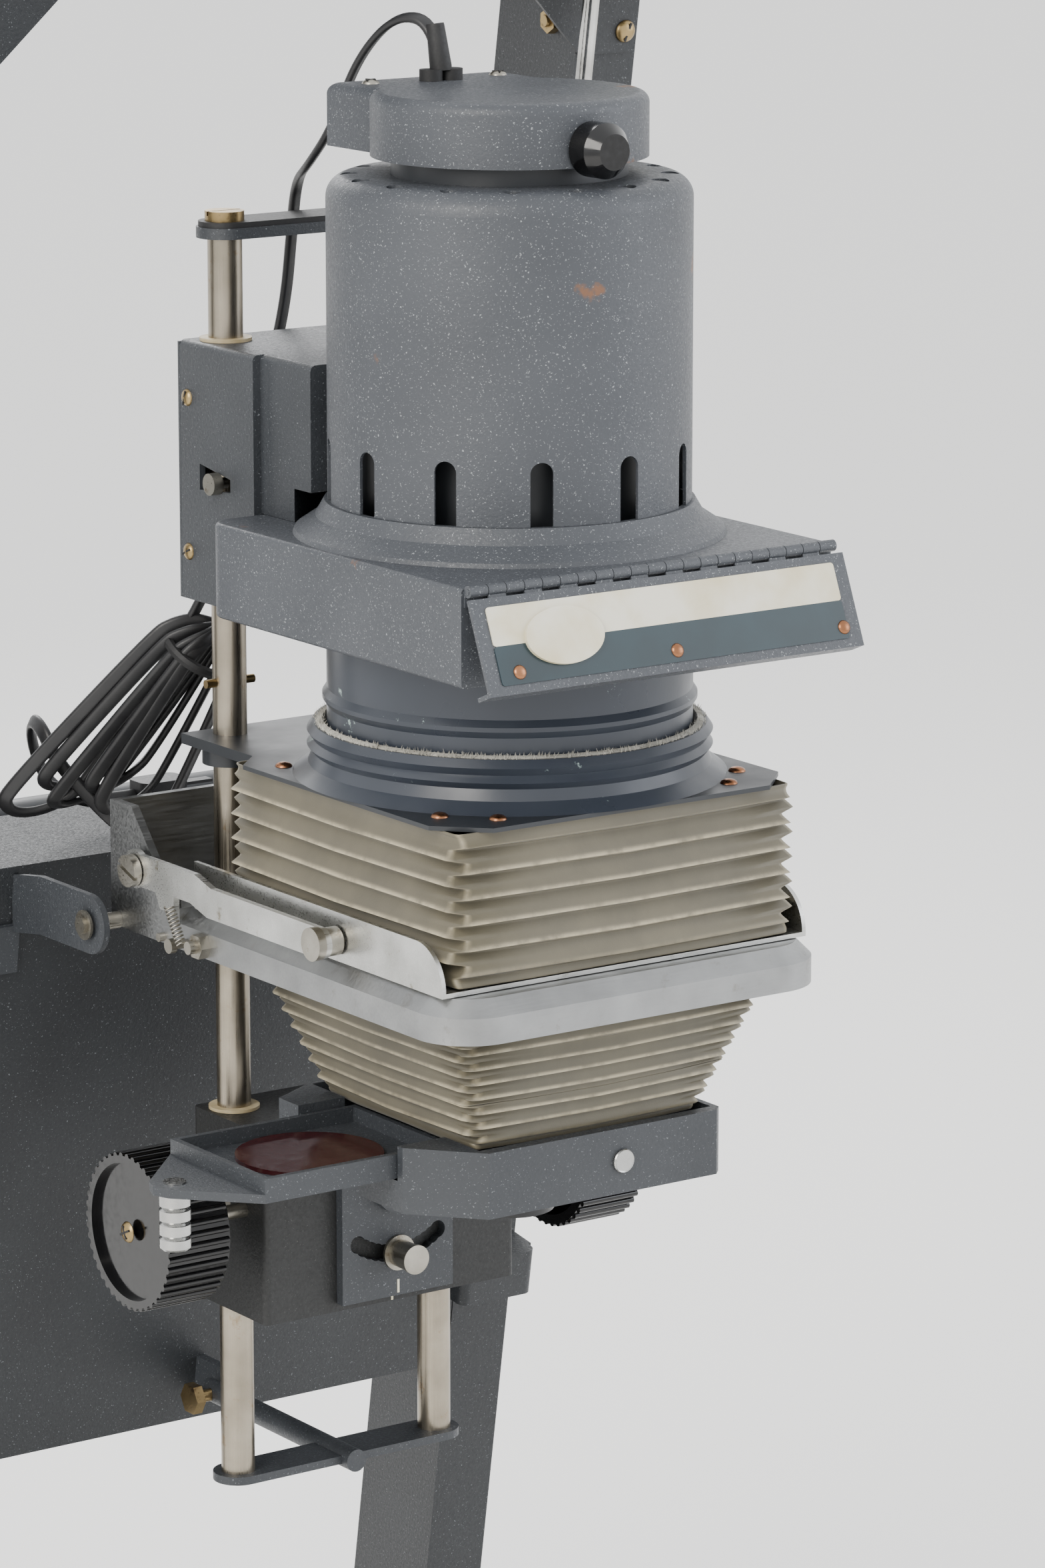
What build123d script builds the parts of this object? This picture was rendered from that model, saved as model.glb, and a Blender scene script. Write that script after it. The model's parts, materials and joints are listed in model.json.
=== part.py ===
from build123d import *
import math
import os

# Photo enlarger: an inclined twin-girder stand on a baseboard, an elevator chassis that
# climbs the girders, and a head on two vertical guide posts.  Millimetres, +Z up, origin
# at the middle of the footprint on the floor.  +X is the operator's right, +Y the back.

os.makedirs("parts", exist_ok=True)

# ---------------------------------------------------------------- driving dimensions
DATUM_Z = 350.0            # underside of the lower link above the floor
POST_X = 56.0              # half the spacing of the guide posts
POST_Y = 25.0              # plane of the guide posts
POST_R = 7.94              # 5/8 in posts
AXIS_Y = POST_Y - 145.0    # optical axis
RUN = 0.05                 # running clearance on the radius

LINK_W = 24.0
LINK_T = 4.0
TOP_LINK_Z = DATUM_Z + 590.0
TOP_LINK_T = 5.0
GASKET_T = 2.5

BOARD_W = 457.0
BOARD_D = 610.0
BOARD_T = 22.0
FOOT_H = 8.0
BOARD_TOP = FOOT_H + BOARD_T

LEAN_DEG = 9.3             # girders lean forward
GIRDER_IN = 165.0          # inner face of each web
GIRDER_W = 35.0
GIRDER_D = 65.0
GIRDER_T = 3.0
GIRDER_TOP_Z = 1200.0

CHASSIS_X = 160.0
CHASSIS_FRONT = -6.0       # in front of the girder flanges
CHASSIS_BACK = 54.0
CHASSIS_LOW = -21.0
CHASSIS_HIGH = 293.0
SHEET = 2.0

ROD_R = 4.0
ROD_X = 158.0
ROD_FRONT = -18.0
ROLLER_R = 10.0
DRIVE_S = 319.0            # height of the crank shaft along the girders

STAGE_Z = DATUM_Z + 271.0
STAGE_T = 19.0
STAGE_BEVEL = 7.0
STAGE_BEVEL_BACK = -5.0
STAGE_X = 103.0
STAGE_FRONT = AXIS_Y - 105.0
STAGE_BACK = POST_Y + 30.0
FENCE_H = 40.0
PIVOT_Y = POST_Y + 24.0
PIVOT_Z = DATUM_Z + 274.0

LEVER_Y = POST_Y
LEVER_Z = DATUM_Z + 303.0
LEVER_STUD_Y = POST_Y - 154.0
LEVER_STUD_Z = DATUM_Z + 300.0
PRESS_Z = DATUM_Z + 290.4
PRESS_X = 98.0
PRESS_FRONT = AXIS_Y - 90.0
PRESS_BACK = AXIS_Y + 110.0

BELLOWS_HALF = 92.0
BELLOWS_FOOT_Z = PRESS_Z + 2.4
COLLAR_PLATE_Z = DATUM_Z + 361.0
COLLAR_PLATE_HALF = 94.0

SLEEVE_R = 81.5
SLEEVE_FOOT = DATUM_Z + 332.0
SLEEVE_TOP = DATUM_Z + 431.0
BEAD_Z = DATUM_Z + 397.0

HOUSING_X = 98.0
HOUSING_Z = DATUM_Z + 428.0
HOUSING_H = 43.0
HOUSING_FRONT = AXIS_Y - 105.0
HOUSING_BACK = AXIS_Y + 97.0
LAMP_R = 80.5
LAMP_Z = HOUSING_Z + HOUSING_H + 15.0
LAMP_TOP = DATUM_Z + 629.0
NECK_R = 52.0
CAP_Z = DATUM_Z + 637.0
CAP_H = 28.0
CAP_R = 61.0
CAP_BLOCK_X = 46.0
CAP_BACK = AXIS_Y + 75.0

BOX_X = 72.0
BOX_Z = DATUM_Z + 424.0
BOX_H = 119.0
BOX_BACK = POST_Y + 14.0
BOX_FRONT = HOUSING_BACK + 0.2

CARRIAGE_Z = DATUM_Z + 90.0
CARRIAGE_H = 92.0
CARRIAGE_FRONT = POST_Y - 48.0
SHAFT_Y = POST_Y - 30.0
SHAFT_Z = DATUM_Z + 142.0
SHAFT_R = 3.5
IDLER_Y = POST_Y - 15.0
IDLER_R = 6.95
DRIVER_R = 7.95
KNOB_R = 37.0
KNOB_IN = 100.0
KNOB_OUT = 133.0

LENS_Z = DATUM_Z + 182.0
LENS_H = 30.0
TILT_Z = DATUM_Z + 150.0
TRAY_Z = DATUM_Z + 197.0

LEAN = Plane(
    origin=(0, POST_Y + 144.7, DATUM_Z),
    x_dir=(1, 0, 0),
    z_dir=(0, -math.sin(math.radians(LEAN_DEG)), math.cos(math.radians(LEAN_DEG))),
)
AXIS = Plane.XY.move(Location((0, AXIS_Y, 0)))


def save(part, name):
    part.label = name
    export_step(part, f"parts/{name}.step")


def save_group(name, *pieces):
    """Several separate solids in one node, such as a pair or a part with its small fittings."""
    solids = [solid for piece in pieces for solid in piece.solids()]
    save(Compound(solids), name)


def along_x(x, y, z):
    """A sketch plane that faces +X at a point."""
    return Plane(origin=(x, y, z), x_dir=(0, 1, 0), z_dir=(1, 0, 0))


def along_y(x, y, z):
    """A sketch plane that faces -Y (the front) at a point."""
    return Plane(origin=(x, y, z), x_dir=(1, 0, 0), z_dir=(0, -1, 0))


def along_z(x, y, z):
    return Plane(origin=(x, y, z))


def lean_at(x, y, s):
    """A plane square to the girders: x right, y back from the flange, s up the girder."""
    spot = LEAN.from_local_coords(Vector(x, y, s))
    return Plane(origin=spot, x_dir=LEAN.x_dir, z_dir=LEAN.z_dir)


def disc(plane, radius, height):
    """A plain turned disc standing on a plane."""
    with BuildSketch(plane) as face:
        Circle(radius)
    extrude(face.sketch, amount=height)


def slotted_head(plane, radius, height, slot=1.4):
    """A cheese head with a screwdriver slot."""
    with BuildSketch(plane) as face:
        Circle(radius)
    extrude(face.sketch, amount=height)
    with BuildSketch(plane.offset(height)) as slit:
        Rectangle(2.2 * radius, slot)
    extrude(slit.sketch, amount=-0.45 * height, mode=Mode.SUBTRACT)


# ---------------------------------------------------------------- stand
with BuildPart() as base_board:
    with BuildSketch(Plane.XY.offset(FOOT_H)):
        RectangleRounded(BOARD_W, BOARD_D, 12)
    extrude(amount=BOARD_T)
save(base_board.part, "base_board")

with BuildPart() as base_feet:
    with BuildSketch(Plane.XY):
        with GridLocations(BOARD_W - 60, BOARD_D - 60, 2, 2):
            Circle(15)
    extrude(amount=FOOT_H)
save(base_feet.part, "base_feet")


def girder(side):
    """One channel, web inwards, flanges outwards, its foot cut flat on the board."""
    with BuildPart() as rail:
        with BuildSketch(LEAN.offset(-350)):
            with Locations((side * (GIRDER_IN + GIRDER_W / 2), GIRDER_D / 2)):
                Rectangle(GIRDER_W, GIRDER_D)
            with Locations((side * (GIRDER_IN + GIRDER_T + GIRDER_W / 2), GIRDER_D / 2)):
                Rectangle(GIRDER_W, GIRDER_D - 2 * GIRDER_T, mode=Mode.SUBTRACT)
        extrude(amount=1300)
        split(bisect_by=Plane.XY.offset(BOARD_TOP), keep=Keep.TOP)
        split(bisect_by=Plane.XY.offset(GIRDER_TOP_Z), keep=Keep.BOTTOM)
    return rail.part



FOOT_PLATE_Y = 258.0
with BuildPart() as foot_brackets:
    with BuildSketch(Plane.XY.offset(BOARD_TOP)):
        with Locations((GIRDER_IN - 26, FOOT_PLATE_Y), (-GIRDER_IN + 26, FOOT_PLATE_Y)):
            Rectangle(51, 80)
    extrude(amount=4)
    with BuildSketch(Plane.XY.offset(BOARD_TOP + 4)):
        with Locations((GIRDER_IN - 2.6, FOOT_PLATE_Y), (-GIRDER_IN + 2.6, FOOT_PLATE_Y)):
            Rectangle(4, 60)
    extrude(amount=20)
save(foot_brackets.part, "foot_brackets")

BRACE_S = 712.0
with BuildPart() as top_brace:
    with BuildSketch(Plane(origin=lean_at(0, 0, 0).origin, x_dir=(1, 0, 0), z_dir=-LEAN.y_dir)):
        with BuildLine():
            Polyline(
                (-166, BRACE_S - 46), (-120, BRACE_S), (120, BRACE_S), (166, BRACE_S - 46),
                (196, BRACE_S - 46), (196, BRACE_S + 110), (-196, BRACE_S + 110),
                (-196, BRACE_S - 46), close=True,
            )
        make_face()
    extrude(amount=2.5)
    with BuildSketch(lean_at(0, 0, BRACE_S + 107)):
        with Locations((0, 30)):
            Rectangle(328, 60)
    extrude(amount=3)
save(top_brace.part, "top_brace")

ROD_FOOT_S = 22.0
ROD_HEAD_S = 738.0
with BuildPart() as elevation_rod:
    disc(lean_at(ROD_X, ROD_FRONT, ROD_FOOT_S - 2), ROD_R, ROD_HEAD_S - ROD_FOOT_S + 4)
save(elevation_rod.part, "elevation_rod")


def rod_block(low, high):
    """A block that clamps the elevation rod to the right girder, clear of the guide shoes' path."""
    with BuildPart() as block:
        with BuildSketch(lean_at(0, 0, low)) as outline:
            with Locations((ROD_X + 14, -18)):
                RectangleRounded(44, 20, 5)
            with Locations((ROD_X + 29, -11.3)):
                Rectangle(18, 17.4)
        extrude(outline.sketch, amount=high - low)
        with BuildSketch(lean_at(ROD_X, ROD_FRONT, low)) as bore:
            Circle(ROD_R + 0.05)
        extrude(bore.sketch, amount=high - low, mode=Mode.SUBTRACT)
    return block.part


save(rod_block(ROD_HEAD_S - 36, ROD_HEAD_S), "rod_blocks")
save_group("girders", girder(-1), girder(1), rod_block(ROD_FOOT_S, ROD_FOOT_S + 24))


# ---------------------------------------------------------------- elevator chassis
with BuildPart() as elevator_shell:
    with BuildSketch(LEAN.offset(CHASSIS_LOW)):
        with Locations((0, (CHASSIS_FRONT + CHASSIS_BACK) / 2)):
            Rectangle(2 * CHASSIS_X, CHASSIS_BACK - CHASSIS_FRONT)
    extrude(amount=CHASSIS_HIGH - CHASSIS_LOW)
    with BuildSketch(LEAN.offset(CHASSIS_LOW + SHEET)):
        with Locations((0, (CHASSIS_FRONT + CHASSIS_BACK) / 2 + SHEET)):
            Rectangle(2 * (CHASSIS_X - SHEET), CHASSIS_BACK - CHASSIS_FRONT)
    extrude(amount=CHASSIS_HIGH - CHASSIS_LOW - 2 * SHEET, mode=Mode.SUBTRACT)
save(elevator_shell.part, "elevator_shell")

with BuildPart() as spring_tube:
    tube_spot = LEAN.from_local_coords(Vector(-150, CHASSIS_BACK + 15.2, CHASSIS_HIGH - 15))
    disc(Plane(origin=tube_spot, x_dir=(0, 1, 0), z_dir=(1, 0, 0)), 15, 300)
save(spring_tube.part, "spring_tube")

SHOE_GAP = 0.3
with BuildPart() as guide_shoes:
    for side in (-1, 1):
        for s in (62, 250):
            with BuildSketch(LEAN.offset(s)):
                inner = side * (CHASSIS_X + 0.02)
                outer = side * (GIRDER_IN - SHOE_GAP)
                with BuildLine():
                    Polyline(
                        (inner, -6), (side * 176, -6), (side * 176, -SHOE_GAP), (outer, -SHOE_GAP),
                        (outer, GIRDER_D + SHOE_GAP), (side * 176, GIRDER_D + SHOE_GAP),
                        (side * 176, GIRDER_D + 6), (side * 154, GIRDER_D + 6),
                        (side * 154, CHASSIS_BACK + 0.02), (inner, CHASSIS_BACK + 0.02), close=True,
                    )
                make_face()
            extrude(amount=24)
save(guide_shoes.part, "guide_shoes")

with BuildPart() as pivot_brackets:
    for side in (-1, 1):
        with BuildSketch(along_x(side * 116 - (3 if side < 0 else 0), PIVOT_Y, PIVOT_Z)):
            with BuildLine():
                Polyline((0, 14), (44, 14), (70, 10), (70, -18), (44, -14), (0, -14), close=True)
            make_face()
            Circle(14)
            Circle(4.05, mode=Mode.SUBTRACT)
        extrude(amount=3)
    cut_face = Plane(origin=lean_at(0, CHASSIS_FRONT - 0.02, 0).origin, x_dir=(1, 0, 0), z_dir=-LEAN.y_dir)
    split(bisect_by=cut_face, keep=Keep.TOP)
    for side in (-1, 1):
        ear = lean_at(side * 124.5, CHASSIS_FRONT - 0.02, 252)
        with BuildSketch(Plane(origin=ear.origin, x_dir=(1, 0, 0), z_dir=-LEAN.y_dir)):
            Rectangle(18, 24)
        extrude(amount=3)

with BuildPart() as pivot_pins:
    for side in (-1, 1):
        start = side * 103.05 if side > 0 else -124
        disc(along_x(start, PIVOT_Y, PIVOT_Z), 4, 20.95)
        clip = 120.5 if side > 0 else -122
        disc(along_x(clip, PIVOT_Y, PIVOT_Z), 7, 1.2)

# ---------------------------------------------------------------- guide posts and links
POST_LOW = DATUM_Z + LINK_T
POST_LEN = TOP_LINK_Z - POST_LOW
with BuildPart() as guide_posts:
    for side in (-1, 1):
        disc(along_z(side * POST_X, POST_Y, POST_LOW), POST_R, POST_LEN)
save(guide_posts.part, "guide_posts")

with BuildPart() as bottom_link:
    with BuildSketch(along_z(0, POST_Y, DATUM_Z)):
        SlotCenterToCenter(2 * POST_X, LINK_W)
    extrude(amount=LINK_T)

with BuildPart() as top_link:
    with BuildSketch(along_z(0, POST_Y, TOP_LINK_Z)):
        SlotCenterToCenter(2 * POST_X, LINK_W + 2)
    extrude(amount=TOP_LINK_T)
save_group("post_links", bottom_link.part, top_link.part)

with BuildPart() as top_link_gasket:
    with BuildSketch(along_z(0, POST_Y, TOP_LINK_Z + TOP_LINK_T)):
        SlotCenterToCenter(2 * POST_X, LINK_W)
    extrude(amount=GASKET_T)
save(top_link_gasket.part, "top_link_gasket")

with BuildPart() as link_fasteners:
    for side in (-1, 1):
        slotted_head(along_z(side * POST_X, POST_Y, TOP_LINK_Z + TOP_LINK_T + GASKET_T), 9, 4.5)
        disc(along_z(side * POST_X, POST_Y, DATUM_Z - 2.5), 5, 2.5)

with BuildPart() as post_stop_pin:
    disc(along_x(-POST_X - POST_R - 5.02, POST_Y, DATUM_Z + 385), 2, 5)
    disc(along_x(-POST_X + POST_R + 0.02, POST_Y, DATUM_Z + 385), 2, 5)
save_group("post_fasteners", link_fasteners.part, post_stop_pin.part)

ARM_R = 5.5
ARM_END = POST_Y + 116.0
with BuildPart() as steady_arm:
    with BuildSketch(along_y(0, ARM_END, DATUM_Z + LINK_T / 2)):
        Circle(ARM_R)
    extrude(amount=ARM_END - POST_Y + LINK_W / 2 + 5)
    with BuildSketch(along_z(0, POST_Y, DATUM_Z)):
        Rectangle(40, LINK_W + 0.04)
    extrude(amount=LINK_T, mode=Mode.SUBTRACT)
    with BuildSketch(along_x(-10, ARM_END - 9, DATUM_Z + LINK_T / 2)):
        Circle(3.2)
    extrude(amount=20, mode=Mode.SUBTRACT)
save(steady_arm.part, "steady_arm")

with BuildPart() as arm_bolt:
    bolt_y = ARM_END - 9
    bolt_z = DATUM_Z + LINK_T / 2
    disc(along_x(-12, bolt_y, bolt_z), 3.1, 27)
    with BuildSketch(along_x(-17, bolt_y, bolt_z)):
        RegularPolygon(8, 6)
    extrude(amount=5)
save(arm_bolt.part, "arm_bolt")

with BuildPart() as arm_lug:
    with BuildSketch(along_x(ARM_R + 0.5, bolt_y, bolt_z)):
        Circle(10)
        with Locations((20, 0)):
            Rectangle(40, 20)
        Circle(3.2, mode=Mode.SUBTRACT)
    extrude(amount=5)
    split(bisect_by=cut_face, keep=Keep.TOP)
save_group("chassis_brackets", pivot_brackets.part, arm_lug.part)

# ---------------------------------------------------------------- negative stage
PLATE_T = 8.0
APERTURE = 110.0
with BuildPart() as negative_stage:
    with BuildSketch(along_z(0, (STAGE_FRONT + STAGE_BEVEL_BACK) / 2, STAGE_Z)):
        Rectangle(2 * STAGE_X, STAGE_BEVEL_BACK - STAGE_FRONT)
    extrude(amount=STAGE_T)
    fillet(negative_stage.edges().filter_by(Axis.Z).group_by(Axis.Y)[0], 26)
    rim = negative_stage.faces().sort_by(Axis.Z)[-1].edges().sort_by(Axis.Y)[:-1]
    chamfer(rim, STAGE_BEVEL)
    with BuildSketch(along_z(0, (STAGE_BEVEL_BACK + STAGE_BACK) / 2, STAGE_Z)):
        Rectangle(2 * STAGE_X, STAGE_BACK - STAGE_BEVEL_BACK)
    extrude(amount=STAGE_T)
    with BuildSketch(along_z(0, (STAGE_FRONT + STAGE_BACK) / 2, STAGE_Z)):
        RectangleRounded(2 * STAGE_X - 10, STAGE_BACK - STAGE_FRONT - 10, 21)
    extrude(amount=STAGE_T - PLATE_T, mode=Mode.SUBTRACT)
    with BuildSketch(along_z(0, AXIS_Y, STAGE_Z)):
        Rectangle(APERTURE, APERTURE)
    extrude(amount=STAGE_T, mode=Mode.SUBTRACT)
    with BuildSketch(along_z(0, (STAGE_FRONT + STAGE_BACK) / 2, STAGE_Z + STAGE_T)):
        with BuildLine():
            back = (STAGE_BACK - STAGE_FRONT) / 2
            Polyline(
                (-STAGE_X, back - 55), (-STAGE_X, back), (STAGE_X, back), (STAGE_X, back - 55),
                (STAGE_X - 4, back - 55), (STAGE_X - 4, back - 4), (4 - STAGE_X, back - 4),
                (4 - STAGE_X, back - 55), close=True,
            )
        make_face()
    extrude(amount=FENCE_H)
    with BuildSketch(along_x(-STAGE_X - 1, STAGE_BACK, STAGE_Z + STAGE_T)):
        with BuildLine():
            Polyline((-56, 18), (-56, 41), (-18, 41), (-38, 18), close=True)
        make_face()
    extrude(amount=2 * STAGE_X + 2, mode=Mode.SUBTRACT)
    with BuildSketch(along_z(0, POST_Y, STAGE_Z + STAGE_T - PLATE_T - 10)):
        with GridLocations(2 * POST_X, 1, 2, 1):
            Circle(13)
    extrude(amount=12)
    with BuildSketch(along_z(0, POST_Y, STAGE_Z)):
        with GridLocations(2 * POST_X, 1, 2, 1):
            Circle(POST_R + 0.02)
    extrude(amount=100, mode=Mode.SUBTRACT)
save(negative_stage.part, "negative_stage")

with BuildPart() as stage_fittings:
    for side in (-1, 1):
        face = STAGE_X + 0.02
        out = Plane(origin=(side * face, LEVER_Y - 51, DATUM_Z + 277), x_dir=(0, 1, 0), z_dir=(side, 0, 0))
        with BuildSketch(out):
            RegularPolygon(6, 6)
        extrude(amount=5)
        disc(out.offset(5), 3, 4)
        ball = Plane(origin=(side * face, LEVER_Y - 36, DATUM_Z + 275), x_dir=(0, 1, 0), z_dir=(side, 0, 0))
        disc(ball, 2, 7)
        disc(ball.offset(7), 3.4, 3)
        pin = Plane(origin=(side * face, LEVER_Y - 16, DATUM_Z + 274), x_dir=(0, 1, 0), z_dir=(side, 0, 0))
        disc(pin, 2, 3)

with BuildPart() as lower_bellows:
    with BuildSketch(along_z(0, AXIS_Y, STAGE_Z + 0.3)):
        Rectangle(168, 168)
    with BuildSketch(along_z(0, AXIS_Y, LENS_Z + LENS_H - 2)):
        Rectangle(122, 122)
    loft()
    with BuildSketch(along_z(0, AXIS_Y, STAGE_Z + 0.3)):
        Rectangle(148, 148)
    with BuildSketch(along_z(0, AXIS_Y, LENS_Z + LENS_H - 2)):
        Rectangle(102, 102)
    loft(mode=Mode.SUBTRACT)
save(lower_bellows.part, "lower_bellows")

# ---------------------------------------------------------------- lift levers and plate
LEVER_X = STAGE_X + 2.5
LEVER_T = 3.0
with BuildPart() as lift_lever:
    with BuildSketch(along_x(LEVER_X, LEVER_Y, LEVER_Z)):
        with BuildLine():
            Polyline(
                (6, 8), (-52, 8), (-66, 4), (-154, 4), (-154, -10), (-62, -10), (-48, -6),
                (-34, -6), (-34, -14), (-22, -14), (-18, -7), (6, -7), close=True,
            )
        make_face()
        with Locations((0, 0.5)):
            Circle(9)
        with Locations((-154, -3)):
            Circle(7)
        Circle(3.05, mode=Mode.SUBTRACT)
        with Locations((-154, -3)):
            Circle(3.02, mode=Mode.SUBTRACT)
    extrude(amount=LEVER_T)

with BuildPart() as lift_lever_left:
    add(lift_lever.part)
    mirror(about=Plane.YZ, mode=Mode.REPLACE)

with BuildPart() as lever_pivots:
    for side in (-1, 1):
        pivot_spot = (side * (STAGE_X + 0.02), LEVER_Y, LEVER_Z)
        base = Plane(origin=pivot_spot, x_dir=(0, 1, 0.35), z_dir=(side, 0, 0))
        disc(base, 3, 6)
        slotted_head(base.offset(6), 7.5, 4, 1.8)
save_group("stage_fittings", stage_fittings.part, lever_pivots.part, pivot_pins.part)

with BuildPart() as pressure_plate:
    with BuildSketch(along_z(0, (PRESS_FRONT + PRESS_BACK) / 2, PRESS_Z)):
        Rectangle(2 * PRESS_X, PRESS_BACK - PRESS_FRONT)
    extrude(amount=22)
    fillet(pressure_plate.edges().filter_by(Axis.X).group_by(Axis.Z)[-1].sort_by(Axis.Y)[0], 20)
    with BuildSketch(along_z(0, (PRESS_FRONT + PRESS_BACK) / 2, PRESS_Z + 2)):
        Rectangle(2 * PRESS_X - 4, 400)
    extrude(amount=30, mode=Mode.SUBTRACT)
    with BuildSketch(along_z(0, AXIS_Y, PRESS_Z)):
        Rectangle(150, 150)
    extrude(amount=5, mode=Mode.SUBTRACT)
save(pressure_plate.part, "pressure_plate")

with BuildPart() as lever_studs:
    for side in (-1, 1):
        stud = Plane(origin=(side * (PRESS_X + 0.02), LEVER_STUD_Y, LEVER_STUD_Z),
                     x_dir=(0, 1, 0), z_dir=(side, 0, 0))
        disc(stud, 3, 10.5)
        disc(stud.offset(1), 6.5, 6.2)
        disc(stud.offset(LEVER_X + LEVER_T - PRESS_X + 0.02), 7.5, 4)
save_group("lift_levers", lift_lever.part, lift_lever_left.part)
save(lever_studs.part, "lever_studs")


with BuildPart() as upper_bellows:
    with BuildSketch(along_z(0, AXIS_Y, BELLOWS_FOOT_Z + 0.3)):
        Rectangle(2 * BELLOWS_HALF, 2 * BELLOWS_HALF)
        Rectangle(2 * BELLOWS_HALF - 16, 2 * BELLOWS_HALF - 16, mode=Mode.SUBTRACT)
    extrude(amount=COLLAR_PLATE_Z - BELLOWS_FOOT_Z - 5.6)
save(upper_bellows.part, "upper_bellows")

# ---------------------------------------------------------------- collar
with BuildPart() as collar_plate:
    with BuildSketch(along_z(0, AXIS_Y, COLLAR_PLATE_Z)):
        Rectangle(2 * COLLAR_PLATE_HALF, 2 * COLLAR_PLATE_HALF)
        chamfer(vertices(), 20)
        Circle(SLEEVE_R + 2, mode=Mode.SUBTRACT)
    extrude(amount=2)

with BuildPart() as collar:
    with BuildSketch(Plane.XZ.offset(-AXIS_Y)):
        with BuildLine():
            Polyline(
                (SLEEVE_R + 2.4, COLLAR_PLATE_Z + 2), (97, COLLAR_PLATE_Z + 2), (90, COLLAR_PLATE_Z + 7),
                (88, COLLAR_PLATE_Z + 12), (90.5, COLLAR_PLATE_Z + 15), (88, COLLAR_PLATE_Z + 18),
                (90.5, COLLAR_PLATE_Z + 21.5), (88, COLLAR_PLATE_Z + 25),
                (SLEEVE_R + 2.4, COLLAR_PLATE_Z + 25), close=True,
            )
        make_face()
    revolve(axis=Axis((0, AXIS_Y, 0), (0, 0, 1)))
save(collar.part, "collar")

with BuildPart() as seal_ring:
    with BuildSketch(along_z(0, AXIS_Y, COLLAR_PLATE_Z + 15)):
        Circle(SLEEVE_R + 2.4)
        Circle(SLEEVE_R + 0.3, mode=Mode.SUBTRACT)
    extrude(amount=11)
save(seal_ring.part, "seal_ring")


with BuildPart() as collar_bracket:
    with BuildSketch(along_z(0, POST_Y - 19, COLLAR_PLATE_Z - 5)):
        Rectangle(150, 62)
    extrude(amount=4.9)
    with BuildSketch(along_z(0, POST_Y, COLLAR_PLATE_Z - 14)):
        with GridLocations(2 * POST_X, 1, 2, 1):
            Circle(13)
    extrude(amount=10)
    with BuildSketch(along_z(0, POST_Y, COLLAR_PLATE_Z - 14)):
        with GridLocations(2 * POST_X, 1, 2, 1):
            Circle(POST_R + 0.02)
    extrude(amount=20, mode=Mode.SUBTRACT)
save_group("collar_plate", collar_plate.part, collar_bracket.part)

# ---------------------------------------------------------------- head carriage and colour housing
with BuildPart() as head_box:
    with BuildSketch(along_z(0, (BOX_BACK + BOX_FRONT) / 2, BOX_Z)):
        Rectangle(2 * BOX_X, BOX_BACK - BOX_FRONT)
    extrude(amount=BOX_H)
    with BuildSketch(along_z(0, BOX_FRONT - 20, HOUSING_Z + HOUSING_H + 0.2)):
        Rectangle(2 * BOX_X - 8, 42)
    extrude(amount=BOX_Z + BOX_H - HOUSING_Z - HOUSING_H - 0.2)
    fillet(head_box.edges().filter_by(Axis.Y).group_by(Axis.Z)[-1], 3)
    with BuildSketch(along_z(0, AXIS_Y, HOUSING_Z)):
        Circle(LAMP_R + 17)
    extrude(amount=HOUSING_H + 15.2, mode=Mode.SUBTRACT)
    with BuildSketch(along_z(0, AXIS_Y, HOUSING_Z)):
        Circle(LAMP_R + 0.3)
    extrude(amount=BOX_H + 10, mode=Mode.SUBTRACT)
    with BuildSketch(along_z(0, (BOX_BACK + BOX_FRONT) / 2, BOX_Z - 0.1)):
        Rectangle(2 * BOX_X - 6, BOX_BACK - BOX_FRONT - 6)
    extrude(amount=BOX_H - 6, mode=Mode.SUBTRACT)
    with BuildSketch(along_z(0, POST_Y, BOX_Z)):
        with GridLocations(2 * POST_X, 1, 2, 1):
            Circle(POST_R + 3)
    extrude(amount=BOX_H + 5, mode=Mode.SUBTRACT)
    with BuildSketch(along_x(-BOX_X - 1, POST_Y - 12, BOX_Z + 57)):
        with BuildLine():
            Polyline((10, 7), (10, -5), (-16, -3), (-16, 3), close=True)
        make_face()
    extrude(amount=6, mode=Mode.SUBTRACT)

with BuildPart() as post_bushes:
    for z in (BOX_Z + BOX_H - 2.9, BOX_Z + 3):
        with BuildSketch(along_z(0, POST_Y, z)):
            with GridLocations(2 * POST_X, 1, 2, 1):
                Circle(POST_R + 2.95)
                Circle(POST_R + RUN, mode=Mode.SUBTRACT)
        extrude(amount=2.9)
    with BuildSketch(along_z(0, POST_Y, BOX_Z + BOX_H + 0.05)):
        with GridLocations(2 * POST_X, 1, 2, 1):
            Circle(POST_R + 4)
            Circle(POST_R + RUN, mode=Mode.SUBTRACT)
    extrude(amount=1.5)
save(post_bushes.part, "head_post_bushes")

with BuildPart() as box_back_cover:
    with BuildSketch(along_z(0, BOX_BACK + 1, BOX_Z)):
        Rectangle(2 * BOX_X, 1.6)
    extrude(amount=BOX_H - 1)
save(head_box.part, "head_box")
save(box_back_cover.part, "head_box_cover")


with BuildPart() as latch_pin:
    disc(Plane(origin=(-BOX_X + 4, POST_Y - 18, BOX_Z + 57), x_dir=(0, 1, 0), z_dir=(-1, 0, 0)), 2.6, 6)
    disc(Plane(origin=(-BOX_X - 0.3, POST_Y - 18, BOX_Z + 57), x_dir=(0, 1, 0), z_dir=(-1, 0, 0)), 5, 5)
save(latch_pin.part, "latch_pin")

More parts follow.
